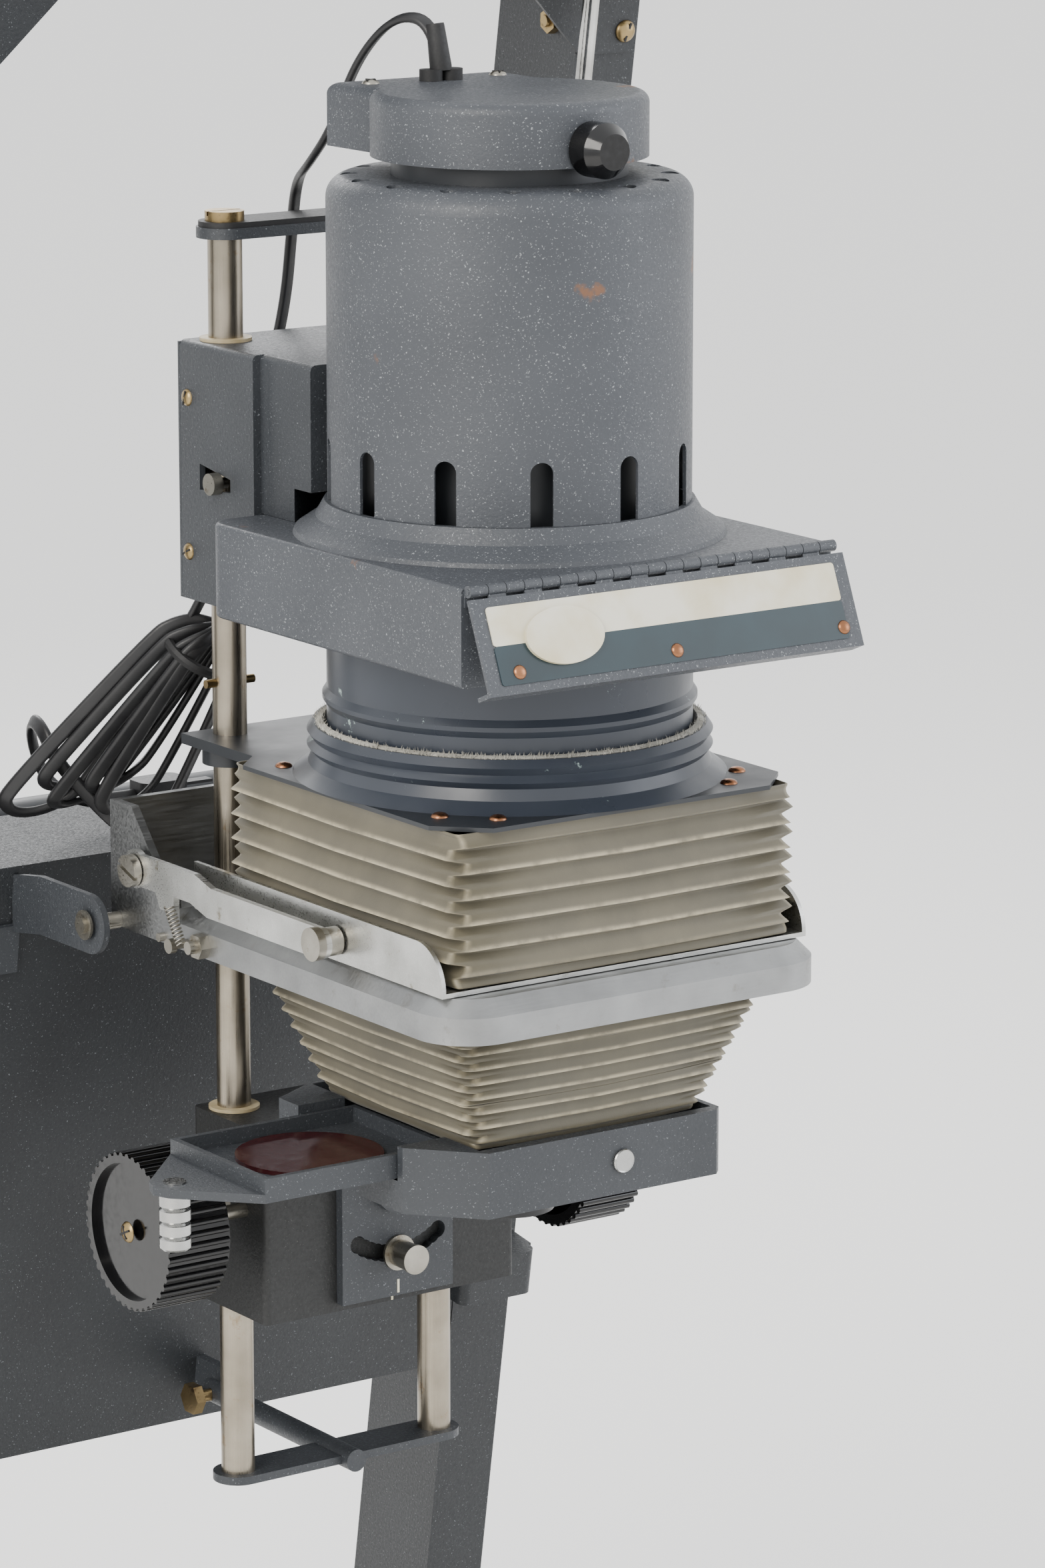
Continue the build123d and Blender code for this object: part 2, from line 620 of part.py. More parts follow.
with BuildPart() as colour_housing:
    with BuildSketch(along_z(0, (HOUSING_FRONT + HOUSING_BACK) / 2, HOUSING_Z)):
        Rectangle(2 * HOUSING_X, HOUSING_BACK - HOUSING_FRONT)
    extrude(amount=HOUSING_H)
    fillet(colour_housing.edges().filter_by(Axis.Z).group_by(Axis.Y)[-1], 12)
    fillet(colour_housing.edges().filter_by(Axis.X).group_by(Axis.Y)[-1], 2)
    with BuildSketch(along_z(0, (HOUSING_FRONT + HOUSING_BACK) / 2, HOUSING_Z)):
        Rectangle(2 * HOUSING_X - 4, HOUSING_BACK - HOUSING_FRONT - 20)
    extrude(amount=HOUSING_H - 2, mode=Mode.SUBTRACT)
    with BuildSketch(along_z(0, AXIS_Y, HOUSING_Z)):
        Circle(LAMP_R - 2)
    extrude(amount=HOUSING_H + 10, mode=Mode.SUBTRACT)
    with BuildSketch(along_y(0, HOUSING_FRONT + 20, HOUSING_Z + 20)):
        Rectangle(150, 26)
    extrude(amount=30, mode=Mode.SUBTRACT)
save(colour_housing.part, "colour_housing")

with BuildPart() as head_floor:
    with BuildSketch(along_z(0, AXIS_Y + 1, HOUSING_Z)):
        Rectangle(2 * HOUSING_X - 4.4, 170)
        with Locations((0, -1)):
            Circle(SLEEVE_R - 3, mode=Mode.SUBTRACT)
    extrude(amount=2)

with BuildPart() as filter_carousel:
    with BuildSketch(along_z(0, AXIS_Y, HOUSING_Z + 12)):
        Circle(74)
        Circle(52, mode=Mode.SUBTRACT)
    extrude(amount=18)

with BuildPart() as lamp_flange:
    with BuildSketch(Plane.XZ.offset(-AXIS_Y)):
        low = HOUSING_Z + HOUSING_H + 0.02
        with BuildLine():
            Polyline((LAMP_R - 2, low), (96, low), (95, low + 2), (86, low + 8), (LAMP_R + 1.5, low + 14.9),
                     (LAMP_R - 2, low + 14.9), close=True)
        make_face()
    revolve(axis=Axis((0, AXIS_Y, 0), (0, 0, 1)))
    with BuildSketch(along_z(0, AXIS_Y + 100 + 95, low)):
        Rectangle(220, 200)
    extrude(amount=20, mode=Mode.SUBTRACT)

VENT_W = 10.0
VENT_H = 28.0
with BuildPart() as lamphouse:
    disc(along_z(0, AXIS_Y, LAMP_Z), LAMP_R, LAMP_TOP - LAMP_Z)
    fillet(lamphouse.edges().group_by(Axis.Z)[-1], 10)
    with BuildSketch(along_z(0, AXIS_Y, LAMP_Z)):
        Circle(LAMP_R - 1.5)
    extrude(amount=LAMP_TOP - LAMP_Z - 1.5 - 8, mode=Mode.SUBTRACT)
    with BuildSketch(along_z(0, AXIS_Y, LAMP_Z)):
        Circle(NECK_R - 4)
    extrude(amount=200, mode=Mode.SUBTRACT)
    with BuildSketch(along_z(0, AXIS_Y, LAMP_TOP - 15)):
        with PolarLocations(70, 16, start_angle=11):
            Circle(4)
    extrude(amount=30, mode=Mode.SUBTRACT)
    for turn in range(0, 360, 30):
        tilt = math.radians(turn + 5)
        if math.sin(tilt) > 0.75:
            continue
        outward = Plane(origin=(0, AXIS_Y, LAMP_Z), x_dir=(-math.sin(tilt), math.cos(tilt), 0),
                        z_dir=(math.cos(tilt), math.sin(tilt), 0))
        with BuildSketch(outward.offset(LAMP_R - 8)):
            with Locations((0, (VENT_H - VENT_W / 2) / 2)):
                Rectangle(VENT_W, VENT_H - VENT_W / 2)
            with Locations((0, VENT_H - VENT_W / 2)):
                Circle(VENT_W / 2)
        extrude(amount=12, mode=Mode.SUBTRACT)
save_group("lamphouse", lamphouse.part, lamp_flange.part)

with BuildPart() as inner_reflector:
    with BuildSketch(along_z(0, AXIS_Y, LAMP_Z - 20)):
        Circle(66)
        Circle(64.5, mode=Mode.SUBTRACT)
    extrude(amount=115)

with BuildPart() as sleeve:
    with BuildSketch(Plane.XZ.offset(-AXIS_Y)):
        with BuildLine():
            Polyline(
                (SLEEVE_R - 1.5, SLEEVE_FOOT), (SLEEVE_R, SLEEVE_FOOT), (SLEEVE_R, BEAD_Z - 3),
                (SLEEVE_R + 2, BEAD_Z), (SLEEVE_R + 2, BEAD_Z + 2), (SLEEVE_R, BEAD_Z + 5),
                (SLEEVE_R, HOUSING_Z - 0.05), (SLEEVE_R - 1.5, HOUSING_Z - 0.05), close=True,
            )
        make_face()
    revolve(axis=Axis((0, AXIS_Y, 0), (0, 0, 1)))
save(sleeve.part, "sleeve")

with BuildPart() as condenser_lens:
    with BuildSketch(Plane.XZ.offset(-AXIS_Y)):
        with BuildLine():
            Polyline(
                (0, SLEEVE_FOOT + 6), (76, SLEEVE_FOOT + 6), (76, SLEEVE_FOOT + 10), (60, SLEEVE_FOOT + 19),
                (40, SLEEVE_FOOT + 27), (20, SLEEVE_FOOT + 31), (0, SLEEVE_FOOT + 32), close=True,
            )
        make_face()
    revolve(axis=Axis((0, AXIS_Y, 0), (0, 0, 1)))
save(condenser_lens.part, "condenser_lens")

with BuildPart() as condenser_seat:
    with BuildSketch(along_z(0, AXIS_Y, SLEEVE_FOOT + 1)):
        Circle(SLEEVE_R - 1.5)
        Circle(70, mode=Mode.SUBTRACT)
    extrude(amount=5)
save_group("head_inner_plates", head_floor.part, filter_carousel.part, condenser_seat.part,
           inner_reflector.part)

with BuildPart() as lamp_socket:
    disc(along_z(0, AXIS_Y, LAMP_TOP - 32), 19, 39)

with BuildPart() as lamp_bulb:
    with BuildSketch(Plane.XZ.offset(-AXIS_Y)):
        bulb_z = LAMP_TOP - 72
        with BuildLine():
            Polyline(
                (0, bulb_z - 28), (14, bulb_z - 25), (25, bulb_z - 14), (29, bulb_z), (25, bulb_z + 14),
                (17, bulb_z + 26), (13, LAMP_TOP - 32.05), (0, LAMP_TOP - 32.05), close=True,
            )
        make_face()
    revolve(axis=Axis((0, AXIS_Y, 0), (0, 0, 1)))
save(lamp_bulb.part, "lamp_bulb")

with BuildPart() as lamp_neck:
    with BuildSketch(along_z(0, AXIS_Y, LAMP_TOP)):
        Circle(NECK_R)
        Circle(NECK_R - 4, mode=Mode.SUBTRACT)
    extrude(amount=CAP_Z - LAMP_TOP)

with BuildPart() as lamp_cap:
    with BuildSketch(along_z(0, AXIS_Y, CAP_Z)):
        Circle(CAP_R)
        with Locations((0, (CAP_BACK - AXIS_Y) / 2)):
            Rectangle(2 * CAP_BLOCK_X, CAP_BACK - AXIS_Y)
    extrude(amount=CAP_H)
    fillet(lamp_cap.edges().group_by(Axis.Z)[-1], 5)
    with BuildSketch(along_z(0, AXIS_Y, CAP_Z)):
        Circle(CAP_R - 3)
    extrude(amount=CAP_H - 5, mode=Mode.SUBTRACT)
    with BuildSketch(along_y(0, AXIS_Y - CAP_R + 5, CAP_Z + 8)):
        Circle(3.05)
    extrude(amount=20, mode=Mode.SUBTRACT)
    with BuildSketch(along_z(0, AXIS_Y, CAP_Z)):
        with Locations((-5.4, 53), (5.4, 53)):
            Circle(3.2)
    extrude(amount=40, mode=Mode.SUBTRACT)
save(lamp_cap.part, "lamp_cap")

with BuildPart() as socket_plate:
    with BuildSketch(along_z(0, AXIS_Y, CAP_Z + 0.05)):
        Circle(CAP_R - 3.2)
        Circle(19, mode=Mode.SUBTRACT)
    extrude(amount=2)
save_group("lamp_neck", lamp_neck.part, socket_plate.part, lamp_socket.part)


with BuildPart() as cord_bushes:
    for x in (-5.4, 5.4):
        disc(along_z(x, AXIS_Y + 53, CAP_Z + CAP_H - 8), 3.2, 8)
        disc(along_z(x, AXIS_Y + 53, CAP_Z + CAP_H + 0.02), 5.2, 5)
save(cord_bushes.part, "cord_bushes")

with BuildPart() as cap_knob:
    knob = along_y(0, AXIS_Y - CAP_R - 0.3, CAP_Z + 8)
    disc(knob, 12, 11)
    with BuildSketch(knob.offset(11)) as crown:
        Circle(12)
    extrude(crown.sketch, amount=6, taper=35)
    disc(knob.offset(-5.4), 3, 6)
save(cap_knob.part, "cap_knob")

# ---------------------------------------------------------------- name-plate flap
FLAP_HINGE_Y = HOUSING_FRONT - 3.0
FLAP_HINGE_Z = HOUSING_Z + HOUSING_H - 1.0
FLAP_TILT = 22.6
FLAP = Plane(
    origin=(0, FLAP_HINGE_Y, FLAP_HINGE_Z), x_dir=(1, 0, 0),
    z_dir=(0, -math.cos(math.radians(FLAP_TILT)), math.sin(math.radians(FLAP_TILT))),
)
FLAP_X = 99.0
FLAP_H = 42.0
with BuildPart() as name_flap:
    with BuildSketch(FLAP.offset(1)):
        with Locations((0, -4 - FLAP_H / 2)):
            Rectangle(2 * FLAP_X, FLAP_H)
    extrude(amount=1.6)
    with BuildSketch(FLAP.offset(-7)):
        with Locations((0, -4 - FLAP_H + 1)):
            Rectangle(2 * FLAP_X, 2)
    extrude(amount=8)




with BuildPart() as flap_hinge_pin:
    disc(along_x(-97, FLAP_HINGE_Y, FLAP_HINGE_Z), 1.2, 194)


KNUCKLES = 21
KNUCKLE_L = 194.0 / KNUCKLES


with BuildPart() as head_leaf:
    for index in range(0, KNUCKLES, 2):
        with BuildSketch(along_x(-97 + index * KNUCKLE_L + 0.2, FLAP_HINGE_Y, FLAP_HINGE_Z)):
            Circle(2.6)
            with Locations((2.45, -3.5)):
                Rectangle(1.0, 7.0)
            Circle(1.25, mode=Mode.SUBTRACT)
        extrude(amount=KNUCKLE_L - 0.4)
save_group("hinge_leaf_head", head_leaf.part, flap_hinge_pin.part)

with BuildPart() as flap_leaf:
    for index in range(1, KNUCKLES, 2):
        with BuildSketch(along_x(-97 + index * KNUCKLE_L + 0.2, FLAP_HINGE_Y, FLAP_HINGE_Z)):
            Circle(2.6)
            Circle(1.25, mode=Mode.SUBTRACT)
        extrude(amount=KNUCKLE_L - 0.4)
        with BuildSketch(FLAP.offset(0)):
            with Locations((-97 + (index + 0.5) * KNUCKLE_L, -6.4)):
                Rectangle(KNUCKLE_L - 0.4, 8.4)
        extrude(amount=0.98)
save_group("name_flap", name_flap.part, flap_leaf.part)

# ---------------------------------------------------------------- focusing carriage
with BuildPart() as lens_carriage:
    with BuildSketch(along_z(0, (POST_Y + 14 + CARRIAGE_FRONT) / 2, CARRIAGE_Z)):
        Rectangle(2 * 70, POST_Y + 14 - CARRIAGE_FRONT)
    extrude(amount=CARRIAGE_H)
    fillet(lens_carriage.edges().filter_by(Axis.Z), 3)
    with BuildSketch(along_z(0, (POST_Y + 14 + CARRIAGE_FRONT) / 2, CARRIAGE_Z)):
        Rectangle(2 * 70 - 8, POST_Y + 14 - CARRIAGE_FRONT - 8)
    extrude(amount=CARRIAGE_H - 4, mode=Mode.SUBTRACT)
    with BuildSketch(along_z(0, POST_Y, CARRIAGE_Z)):
        with GridLocations(2 * POST_X, 1, 2, 1):
            Circle(POST_R + 3)
    extrude(amount=CARRIAGE_H + 5, mode=Mode.SUBTRACT)
    with BuildSketch(along_x(-75, SHAFT_Y, SHAFT_Z)):
        Circle(SHAFT_R + RUN)
        with Locations((IDLER_Y - SHAFT_Y, 0)):
            Circle(3.05)
    extrude(amount=150, mode=Mode.SUBTRACT)
    with BuildSketch(along_y(0, CARRIAGE_FRONT + 5, TILT_Z)):
        Circle(5.05)
        with Locations((0, -35)):
            Circle(3.05)
    extrude(amount=10, mode=Mode.SUBTRACT)
save(lens_carriage.part, "lens_carriage")

with BuildPart() as carriage_bushes:
    with BuildSketch(along_z(0, POST_Y, CARRIAGE_Z + CARRIAGE_H - 3.9)):
        with GridLocations(2 * POST_X, 1, 2, 1):
            Circle(POST_R + 2.95)
            Circle(POST_R + RUN, mode=Mode.SUBTRACT)
    extrude(amount=3.9)
    with BuildSketch(along_z(0, POST_Y, CARRIAGE_Z + CARRIAGE_H + 0.05)):
        with GridLocations(2 * POST_X, 1, 2, 1):
            Circle(POST_R + 4)
            Circle(POST_R + RUN, mode=Mode.SUBTRACT)
    extrude(amount=1.5)
save(carriage_bushes.part, "carriage_post_bushes")

with BuildPart() as focus_shaft:
    disc(along_x(-KNOB_OUT + 6, SHAFT_Y, SHAFT_Z), SHAFT_R, 2 * KNOB_OUT - 12)
    for x in (-62, 48):
        disc(along_x(x, SHAFT_Y, SHAFT_Z), DRIVER_R, 14)
save(focus_shaft.part, "focus_shaft")

with BuildPart() as focus_idler:
    disc(along_x(-69.5, IDLER_Y, SHAFT_Z), 3, 139)
    for x in (-62, 48):
        disc(along_x(x, IDLER_Y, SHAFT_Z), IDLER_R, 14)
save(focus_idler.part, "focus_idler")

FLUTES = 44
with BuildPart() as focus_knobs:
    for side in (-1, 1):
        base = Plane(origin=(side * KNOB_IN, SHAFT_Y, SHAFT_Z), x_dir=(0, 1, 0), z_dir=(side, 0, 0))
        disc(base, KNOB_R - 1.5, KNOB_OUT - KNOB_IN)
        with BuildSketch(base.offset(1)):
            with PolarLocations(KNOB_R - 1.6, FLUTES):
                Circle(1.6)
        extrude(amount=KNOB_OUT - KNOB_IN - 1)
        with BuildSketch(base.offset(KNOB_OUT - KNOB_IN)):
            Circle(KNOB_R - 5)
        extrude(amount=-3, mode=Mode.SUBTRACT)
        with BuildSketch(base):
            Circle(KNOB_R - 6)
            Circle(9, mode=Mode.SUBTRACT)
        extrude(amount=20, mode=Mode.SUBTRACT)
        with BuildSketch(base):
            Circle(SHAFT_R + 0.02)
        extrude(amount=KNOB_OUT - KNOB_IN - 6, mode=Mode.SUBTRACT)
save(focus_knobs.part, "focus_knobs")

# ---------------------------------------------------------------- tilting lens stage
with BuildPart() as lens_stage:
    with BuildSketch(along_z(0, AXIS_Y, LENS_Z)):
        with BuildLine():
            Polyline(
                (-62, -73), (62, -73), (66, -69), (66, 66), (62, 70), (-62, 70), (-88, 56),
                (-88, -44), close=True,
            )
        make_face()
    extrude(amount=LENS_H)
    with BuildSketch(along_z(0, AXIS_Y, LENS_Z + 8)):
        Rectangle(126, 134)
    extrude(amount=LENS_H, mode=Mode.SUBTRACT)
    with BuildSketch(along_z(0, AXIS_Y, LENS_Z)):
        Circle(36)
    extrude(amount=20, mode=Mode.SUBTRACT)
    with BuildSketch(along_z(-86, AXIS_Y, TRAY_Z - 1)):
        Rectangle(60, 80)
    extrude(amount=20, mode=Mode.SUBTRACT)
    with BuildSketch(along_y(0, CARRIAGE_FRONT - 0.3, TILT_Z)):
        Rectangle(62, 112)
        Circle(5.05, mode=Mode.SUBTRACT)
    extrude(amount=5)
    with BuildSketch(along_z(0, (CARRIAGE_FRONT - 0.3 + AXIS_Y + 66) / 2, LENS_Z)):
        Rectangle(62, CARRIAGE_FRONT - 0.3 - AXIS_Y - 66)
    extrude(amount=8)
    with BuildSketch(along_y(0, CARRIAGE_FRONT, TILT_Z)):
        for angle in range(-36, 37, 6):
            turn = math.radians(angle)
            with Locations((38 * math.sin(turn), -38 * math.cos(turn) + 3)):
                Circle(4.2)
    extrude(amount=10, mode=Mode.SUBTRACT)
    with BuildSketch(along_z(-80, AXIS_Y, LENS_Z - 1)):
        Rectangle(40, 18)
    extrude(amount=LENS_H, mode=Mode.SUBTRACT)

with BuildPart() as tilt_boss:
    disc(along_y(0, CARRIAGE_FRONT + 3.9, TILT_Z), 5, 10)
    disc(along_y(0, CARRIAGE_FRONT - 5.4, TILT_Z), 15, 4)

with BuildPart() as lens_board:
    with BuildSketch(along_z(0, AXIS_Y, LENS_Z + 8.05)):
        Circle(44)
        Circle(20.1, mode=Mode.SUBTRACT)
    extrude(amount=2.5)
save_group("lens_stage", lens_stage.part, lens_board.part, tilt_boss.part)

with BuildPart() as enlarging_lens:
    disc(along_z(0, AXIS_Y, LENS_Z - 22), 20, 34)
    with BuildSketch(along_z(0, AXIS_Y, LENS_Z - 22)):
        Circle(13)
    extrude(amount=6, mode=Mode.SUBTRACT)
save(enlarging_lens.part, "enlarging_lens")

with BuildPart() as tilt_screw:
    screw = along_y(0, CARRIAGE_FRONT - 5.4, TILT_Z - 35)
    disc(screw, 8.5, 1.5)
    disc(screw.offset(1.5), 6.5, 12)
    disc(screw.offset(13.5), 7, 2)
    disc(screw.offset(-9), 3, 9)
save(tilt_screw.part, "tilt_screw")

# ---------------------------------------------------------------- filter tray
TRAY_IN = -58.0
TRAY_OUT = -156.0
with BuildPart() as filter_tray:
    with BuildSketch(along_z(0, AXIS_Y, TRAY_Z)):
        with BuildLine():
            Polyline(
                (TRAY_IN, -39), (TRAY_IN, 39), (TRAY_OUT, 39), (-186, 8), (-189, 0), (-186, -8),
                (TRAY_OUT, -39), close=True,
            )
        make_face()
    extrude(amount=4)
    with BuildSketch(along_z(0, AXIS_Y, TRAY_Z + 4)):
        with BuildLine():
            Polyline((TRAY_IN, -39), (TRAY_IN, 39), (TRAY_OUT, 39), (TRAY_OUT, -39), close=True)
        make_face()
        with Locations(((TRAY_IN + TRAY_OUT) / 2, 0)):
            Rectangle(TRAY_IN - TRAY_OUT - 6, 72, mode=Mode.SUBTRACT)
    extrude(amount=7)
    with BuildSketch(along_z(-108, AXIS_Y, TRAY_Z)):
        Circle(30)
    extrude(amount=10, mode=Mode.SUBTRACT)
save(filter_tray.part, "filter_tray")

with BuildPart() as red_filter:
    disc(along_z(-108, AXIS_Y, TRAY_Z + 4.05), 33, 2)
save(red_filter.part, "red_filter")

with BuildPart() as tray_handle:
    with BuildSketch(Plane(origin=(-178, AXIS_Y, TRAY_Z - 26), x_dir=(1, 0, 0), z_dir=(0, -1, 0))):
        with BuildLine():
            Polyline(
                (0, 0), (6, 0), (7, 1), (7, 5), (5.8, 6), (7, 7), (7, 11.5), (5.8, 12.5), (7, 13.5),
                (7, 18), (5.8, 19), (7, 20), (7, 25), (0, 25), close=True,
            )
        make_face()
    revolve(axis=Axis((-178, AXIS_Y, 0), (0, 0, 1)))
    disc(along_z(-178, AXIS_Y, TRAY_Z + 4.02), 5, 0.8)
save(tray_handle.part, "tray_handle")

# ---------------------------------------------------------------- elevation crank
with BuildPart() as drive_housing:
    with BuildSketch(lean_at(0, 0, DRIVE_S - 18)):
        with Locations((146.5, -16)):
            Rectangle(7, 56)
    extrude(amount=30)
    with BuildSketch(lean_at(0, 0, CHASSIS_HIGH + 0.02)):
        with Locations((146.5, 10)):
            Rectangle(7, 30)
    extrude(amount=14)
    crank_spot = LEAN.from_local_coords(Vector(142, ROD_FRONT - ROD_R - ROLLER_R - RUN, DRIVE_S))
    with BuildSketch(Plane(origin=crank_spot, x_dir=LEAN.y_dir, z_dir=(1, 0, 0))):
        Circle(5.05)
    extrude(amount=10, mode=Mode.SUBTRACT)
save(drive_housing.part, "drive_housing")

with BuildPart() as crank_shaft:
    crank_face = Plane(origin=crank_spot, x_dir=LEAN.y_dir, z_dir=(1, 0, 0))
    disc(crank_face.offset(-2), 5, 64)
    disc(crank_face.offset(9), ROLLER_R, 14)

with BuildPart() as crank_arm:
    with BuildSketch(crank_face.offset(62)):
        with Locations((0, -27)):
            SlotCenterToCenter(54, 16, rotation=90)
    extrude(amount=4)
save_group("elevation_crank", crank_shaft.part, crank_arm.part)

with BuildPart() as crank_grip:
    with BuildSketch(crank_face.offset(66)):
        with Locations((0, -54)):
            Circle(7)
    extrude(amount=19)
save(crank_grip.part, "crank_grip")

# ---------------------------------------------------------------- lamp lead
CORD_R = 3.5
CORD_START_Z = CAP_Z + CAP_H + 5.6
cord_route = [
    (0, AXIS_Y + 53, CORD_START_Z),
    (-1, AXIS_Y + 56, 1040),
    (-8, AXIS_Y + 76, 1043),
    (-16, -24, 1022),
    (-22, -14, 992),
    (-20, 10, 972),
    (-10, 36, 962),
    (-4, 50, 935),
    (-6, 52, 905),
    (-14, 52, 875),
    (-24, 53, 848),
    (-34, 57, 818),
    (-41, 62, 790),
    (-42, 62, 770.05),
]


def corner_radii(points):
    """0.45 of the shorter run over the tangent of half the turn, for every corner."""
    radii = []
    for before, here, after in zip(points, points[1:], points[2:]):
        run_in = Vector(*here) - Vector(*before)
        run_out = Vector(*after) - Vector(*here)
        half_turn = math.radians(run_in.get_angle(run_out)) / 2
        radii.append(0.45 * min(run_in.length, run_out.length) / math.tan(half_turn))
    return radii


radii = corner_radii(cord_route)
print("cord bend radii", [round(radius, 1) for radius in radii])
with BuildPart() as cord_lead:
    with BuildLine() as cord_line:
        FilletPolyline(*cord_route, radius=radii)
    start_plane = Plane(origin=cord_line.wires()[0] @ 0, z_dir=cord_line.wires()[0] % 0)
    with BuildSketch(start_plane):
        Circle(CORD_R)
    sweep()
save(cord_lead.part, "cord_lead")
print("cord length", round(cord_line.wires()[0].length, 1),
      "volume over section", round(cord_lead.part.volume / (math.pi * CORD_R**2), 1))

HANK_TOP = 770.0
HANK_LOW = 648.5
with BuildPart() as cord_hank:
    with BuildSketch(along_z(-42, 62, HANK_TOP - 0.4)):
        Rectangle(36, 24)
    with BuildSketch(along_z(-82, 128, HANK_LOW)):
        Rectangle(92, 34)
    loft()
save(cord_hank.part, "cord_hank")

with BuildPart() as cord_plug:
    with BuildSketch(along_z(-20, 148, HANK_LOW)):
        Rectangle(26, 18)
    extrude(amount=14)
    fillet(cord_plug.edges().filter_by(Axis.Z), 5)
    for z in (HANK_LOW + 3.5, HANK_LOW + 9.5):
        with BuildSketch(Plane(origin=(-7.2, 148, z + 0.5), x_dir=(0, 1, 0), z_dir=(1, 0, 0))):
            Rectangle(6.3, 1.5)
        extrude(amount=16)
save(cord_plug.part, "cord_plug")
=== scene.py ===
import bmesh
import bpy
import json
import math
import random
from mathutils import Matrix, Vector


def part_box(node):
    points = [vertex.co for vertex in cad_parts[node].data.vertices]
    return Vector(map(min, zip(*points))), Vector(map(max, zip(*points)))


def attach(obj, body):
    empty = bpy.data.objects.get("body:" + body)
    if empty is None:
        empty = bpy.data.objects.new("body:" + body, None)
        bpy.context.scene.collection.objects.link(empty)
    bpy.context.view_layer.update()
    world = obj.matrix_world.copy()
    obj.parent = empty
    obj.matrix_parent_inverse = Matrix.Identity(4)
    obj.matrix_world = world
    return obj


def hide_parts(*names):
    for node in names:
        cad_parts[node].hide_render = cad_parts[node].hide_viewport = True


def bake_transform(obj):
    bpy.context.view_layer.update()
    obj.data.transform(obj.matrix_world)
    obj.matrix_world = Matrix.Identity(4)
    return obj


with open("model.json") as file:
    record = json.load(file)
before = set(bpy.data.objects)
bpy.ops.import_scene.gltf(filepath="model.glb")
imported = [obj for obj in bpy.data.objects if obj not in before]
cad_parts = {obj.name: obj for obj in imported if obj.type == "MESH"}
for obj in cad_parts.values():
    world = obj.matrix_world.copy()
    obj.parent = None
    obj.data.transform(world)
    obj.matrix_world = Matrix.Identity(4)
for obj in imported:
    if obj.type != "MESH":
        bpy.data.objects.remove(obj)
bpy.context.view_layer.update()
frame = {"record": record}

MM = 0.001
POST_Y = 0.025                  # plane of the guide posts
AXIS_Y = -0.120                 # optical axis
DATUM_Z = 0.350                 # underside of the lower post link
LEAN = math.radians(9.3)        # how far the girders lean forward


# ---------------------------------------------------------------- camera
def look_at(eye, heading, pitch):
    """A camera's place, from its heading from +Y and its pitch below level."""
    turn = Matrix.Rotation(-heading, 4, "Z")
    return Matrix.Translation(eye) @ turn @ Matrix.Rotation(math.radians(90) - pitch, 4, "X")


CAMERA_AWAY = 2.680
CAMERA_SIDE_STEP = 0.0888
CAMERA_ABOVE_DATUM = 0.926
CAMERA_HEADING = math.radians(35.0)
CAMERA_PITCH = math.radians(12.55)
cam_data = bpy.data.cameras.new("camera")
cam_data.lens = 135.0
cam_data.sensor_width = 36.0
cam_data.sensor_fit = "VERTICAL"
cam_data.sensor_height = 36.0
cam_data.clip_end = 90.0
camera = bpy.data.objects.new("camera", cam_data)
bpy.context.scene.collection.objects.link(camera)
camera.matrix_world = look_at(Vector((
    -math.sin(CAMERA_HEADING) * CAMERA_AWAY + math.cos(CAMERA_HEADING) * CAMERA_SIDE_STEP,
    POST_Y - math.cos(CAMERA_HEADING) * CAMERA_AWAY - math.sin(CAMERA_HEADING) * CAMERA_SIDE_STEP,
    DATUM_Z + CAMERA_ABOVE_DATUM,
)), CAMERA_HEADING, CAMERA_PITCH)
bpy.context.scene.camera = camera


# ---------------------------------------------------------------- material helpers
def linear(hex_code):
    """sRGB hex to a linear colour."""
    channels = [int(hex_code[i:i + 2], 16) / 255 for i in (0, 2, 4)]
    return [c / 12.92 if c <= 0.04045 else ((c + 0.055) / 1.055) ** 2.4 for c in channels] + [1.0]


def add(tree, kind, settings=None, **links):
    """Add a node: settings are input values or attributes, links are the sockets that feed its inputs."""
    node = tree.nodes.new(kind)
    for key, value in (settings or {}).items():
        if key in node.inputs:
            node.inputs[key].default_value = value
        else:
            setattr(node, key, value)
    for name, socket in links.items():
        tree.links.new(socket, node.inputs[name])
    return node


def new_material(name, roughness, metallic=0.0):
    """A material with its node tree, its shader and the piece's Object coordinates."""
    material = bpy.data.materials.new(name)
    material.use_nodes = True
    tree = material.node_tree
    shader = tree.nodes["Principled BSDF"]
    shader.inputs["Roughness"].default_value = roughness
    shader.inputs["Metallic"].default_value = metallic
    return material, tree, shader, add(tree, "ShaderNodeTexCoord").outputs["Object"]


def noise(tree, place, size_mm, detail, roughness=0.5, distortion=0.0):
    """Noise whose blotches are about size_mm across."""
    return add(tree, "ShaderNodeTexNoise", {
        "Scale": 1.0 / (size_mm * MM), "Detail": detail, "Roughness": roughness, "Distortion": distortion,
    }, Vector=place).outputs["Fac"]


def ramp(tree, socket, dark, light, low=0.3, high=0.7):
    """Two sRGB colours, dark up to low and light from high."""
    node = add(tree, "ShaderNodeValToRGB", Fac=socket)
    for stop, position, colour in zip(node.color_ramp.elements, (low, high), (dark, light)):
        stop.position = position
        stop.color = linear(colour)
    return node.outputs["Color"]


def band(tree, socket, low, high, out_low=0.0, out_high=1.0):
    """Stretch the part of a value between low and high."""
    return add(tree, "ShaderNodeMapRange", {
        "From Min": low, "From Max": high, "To Min": out_low, "To Max": out_high,
    }, Value=socket).outputs["Result"]


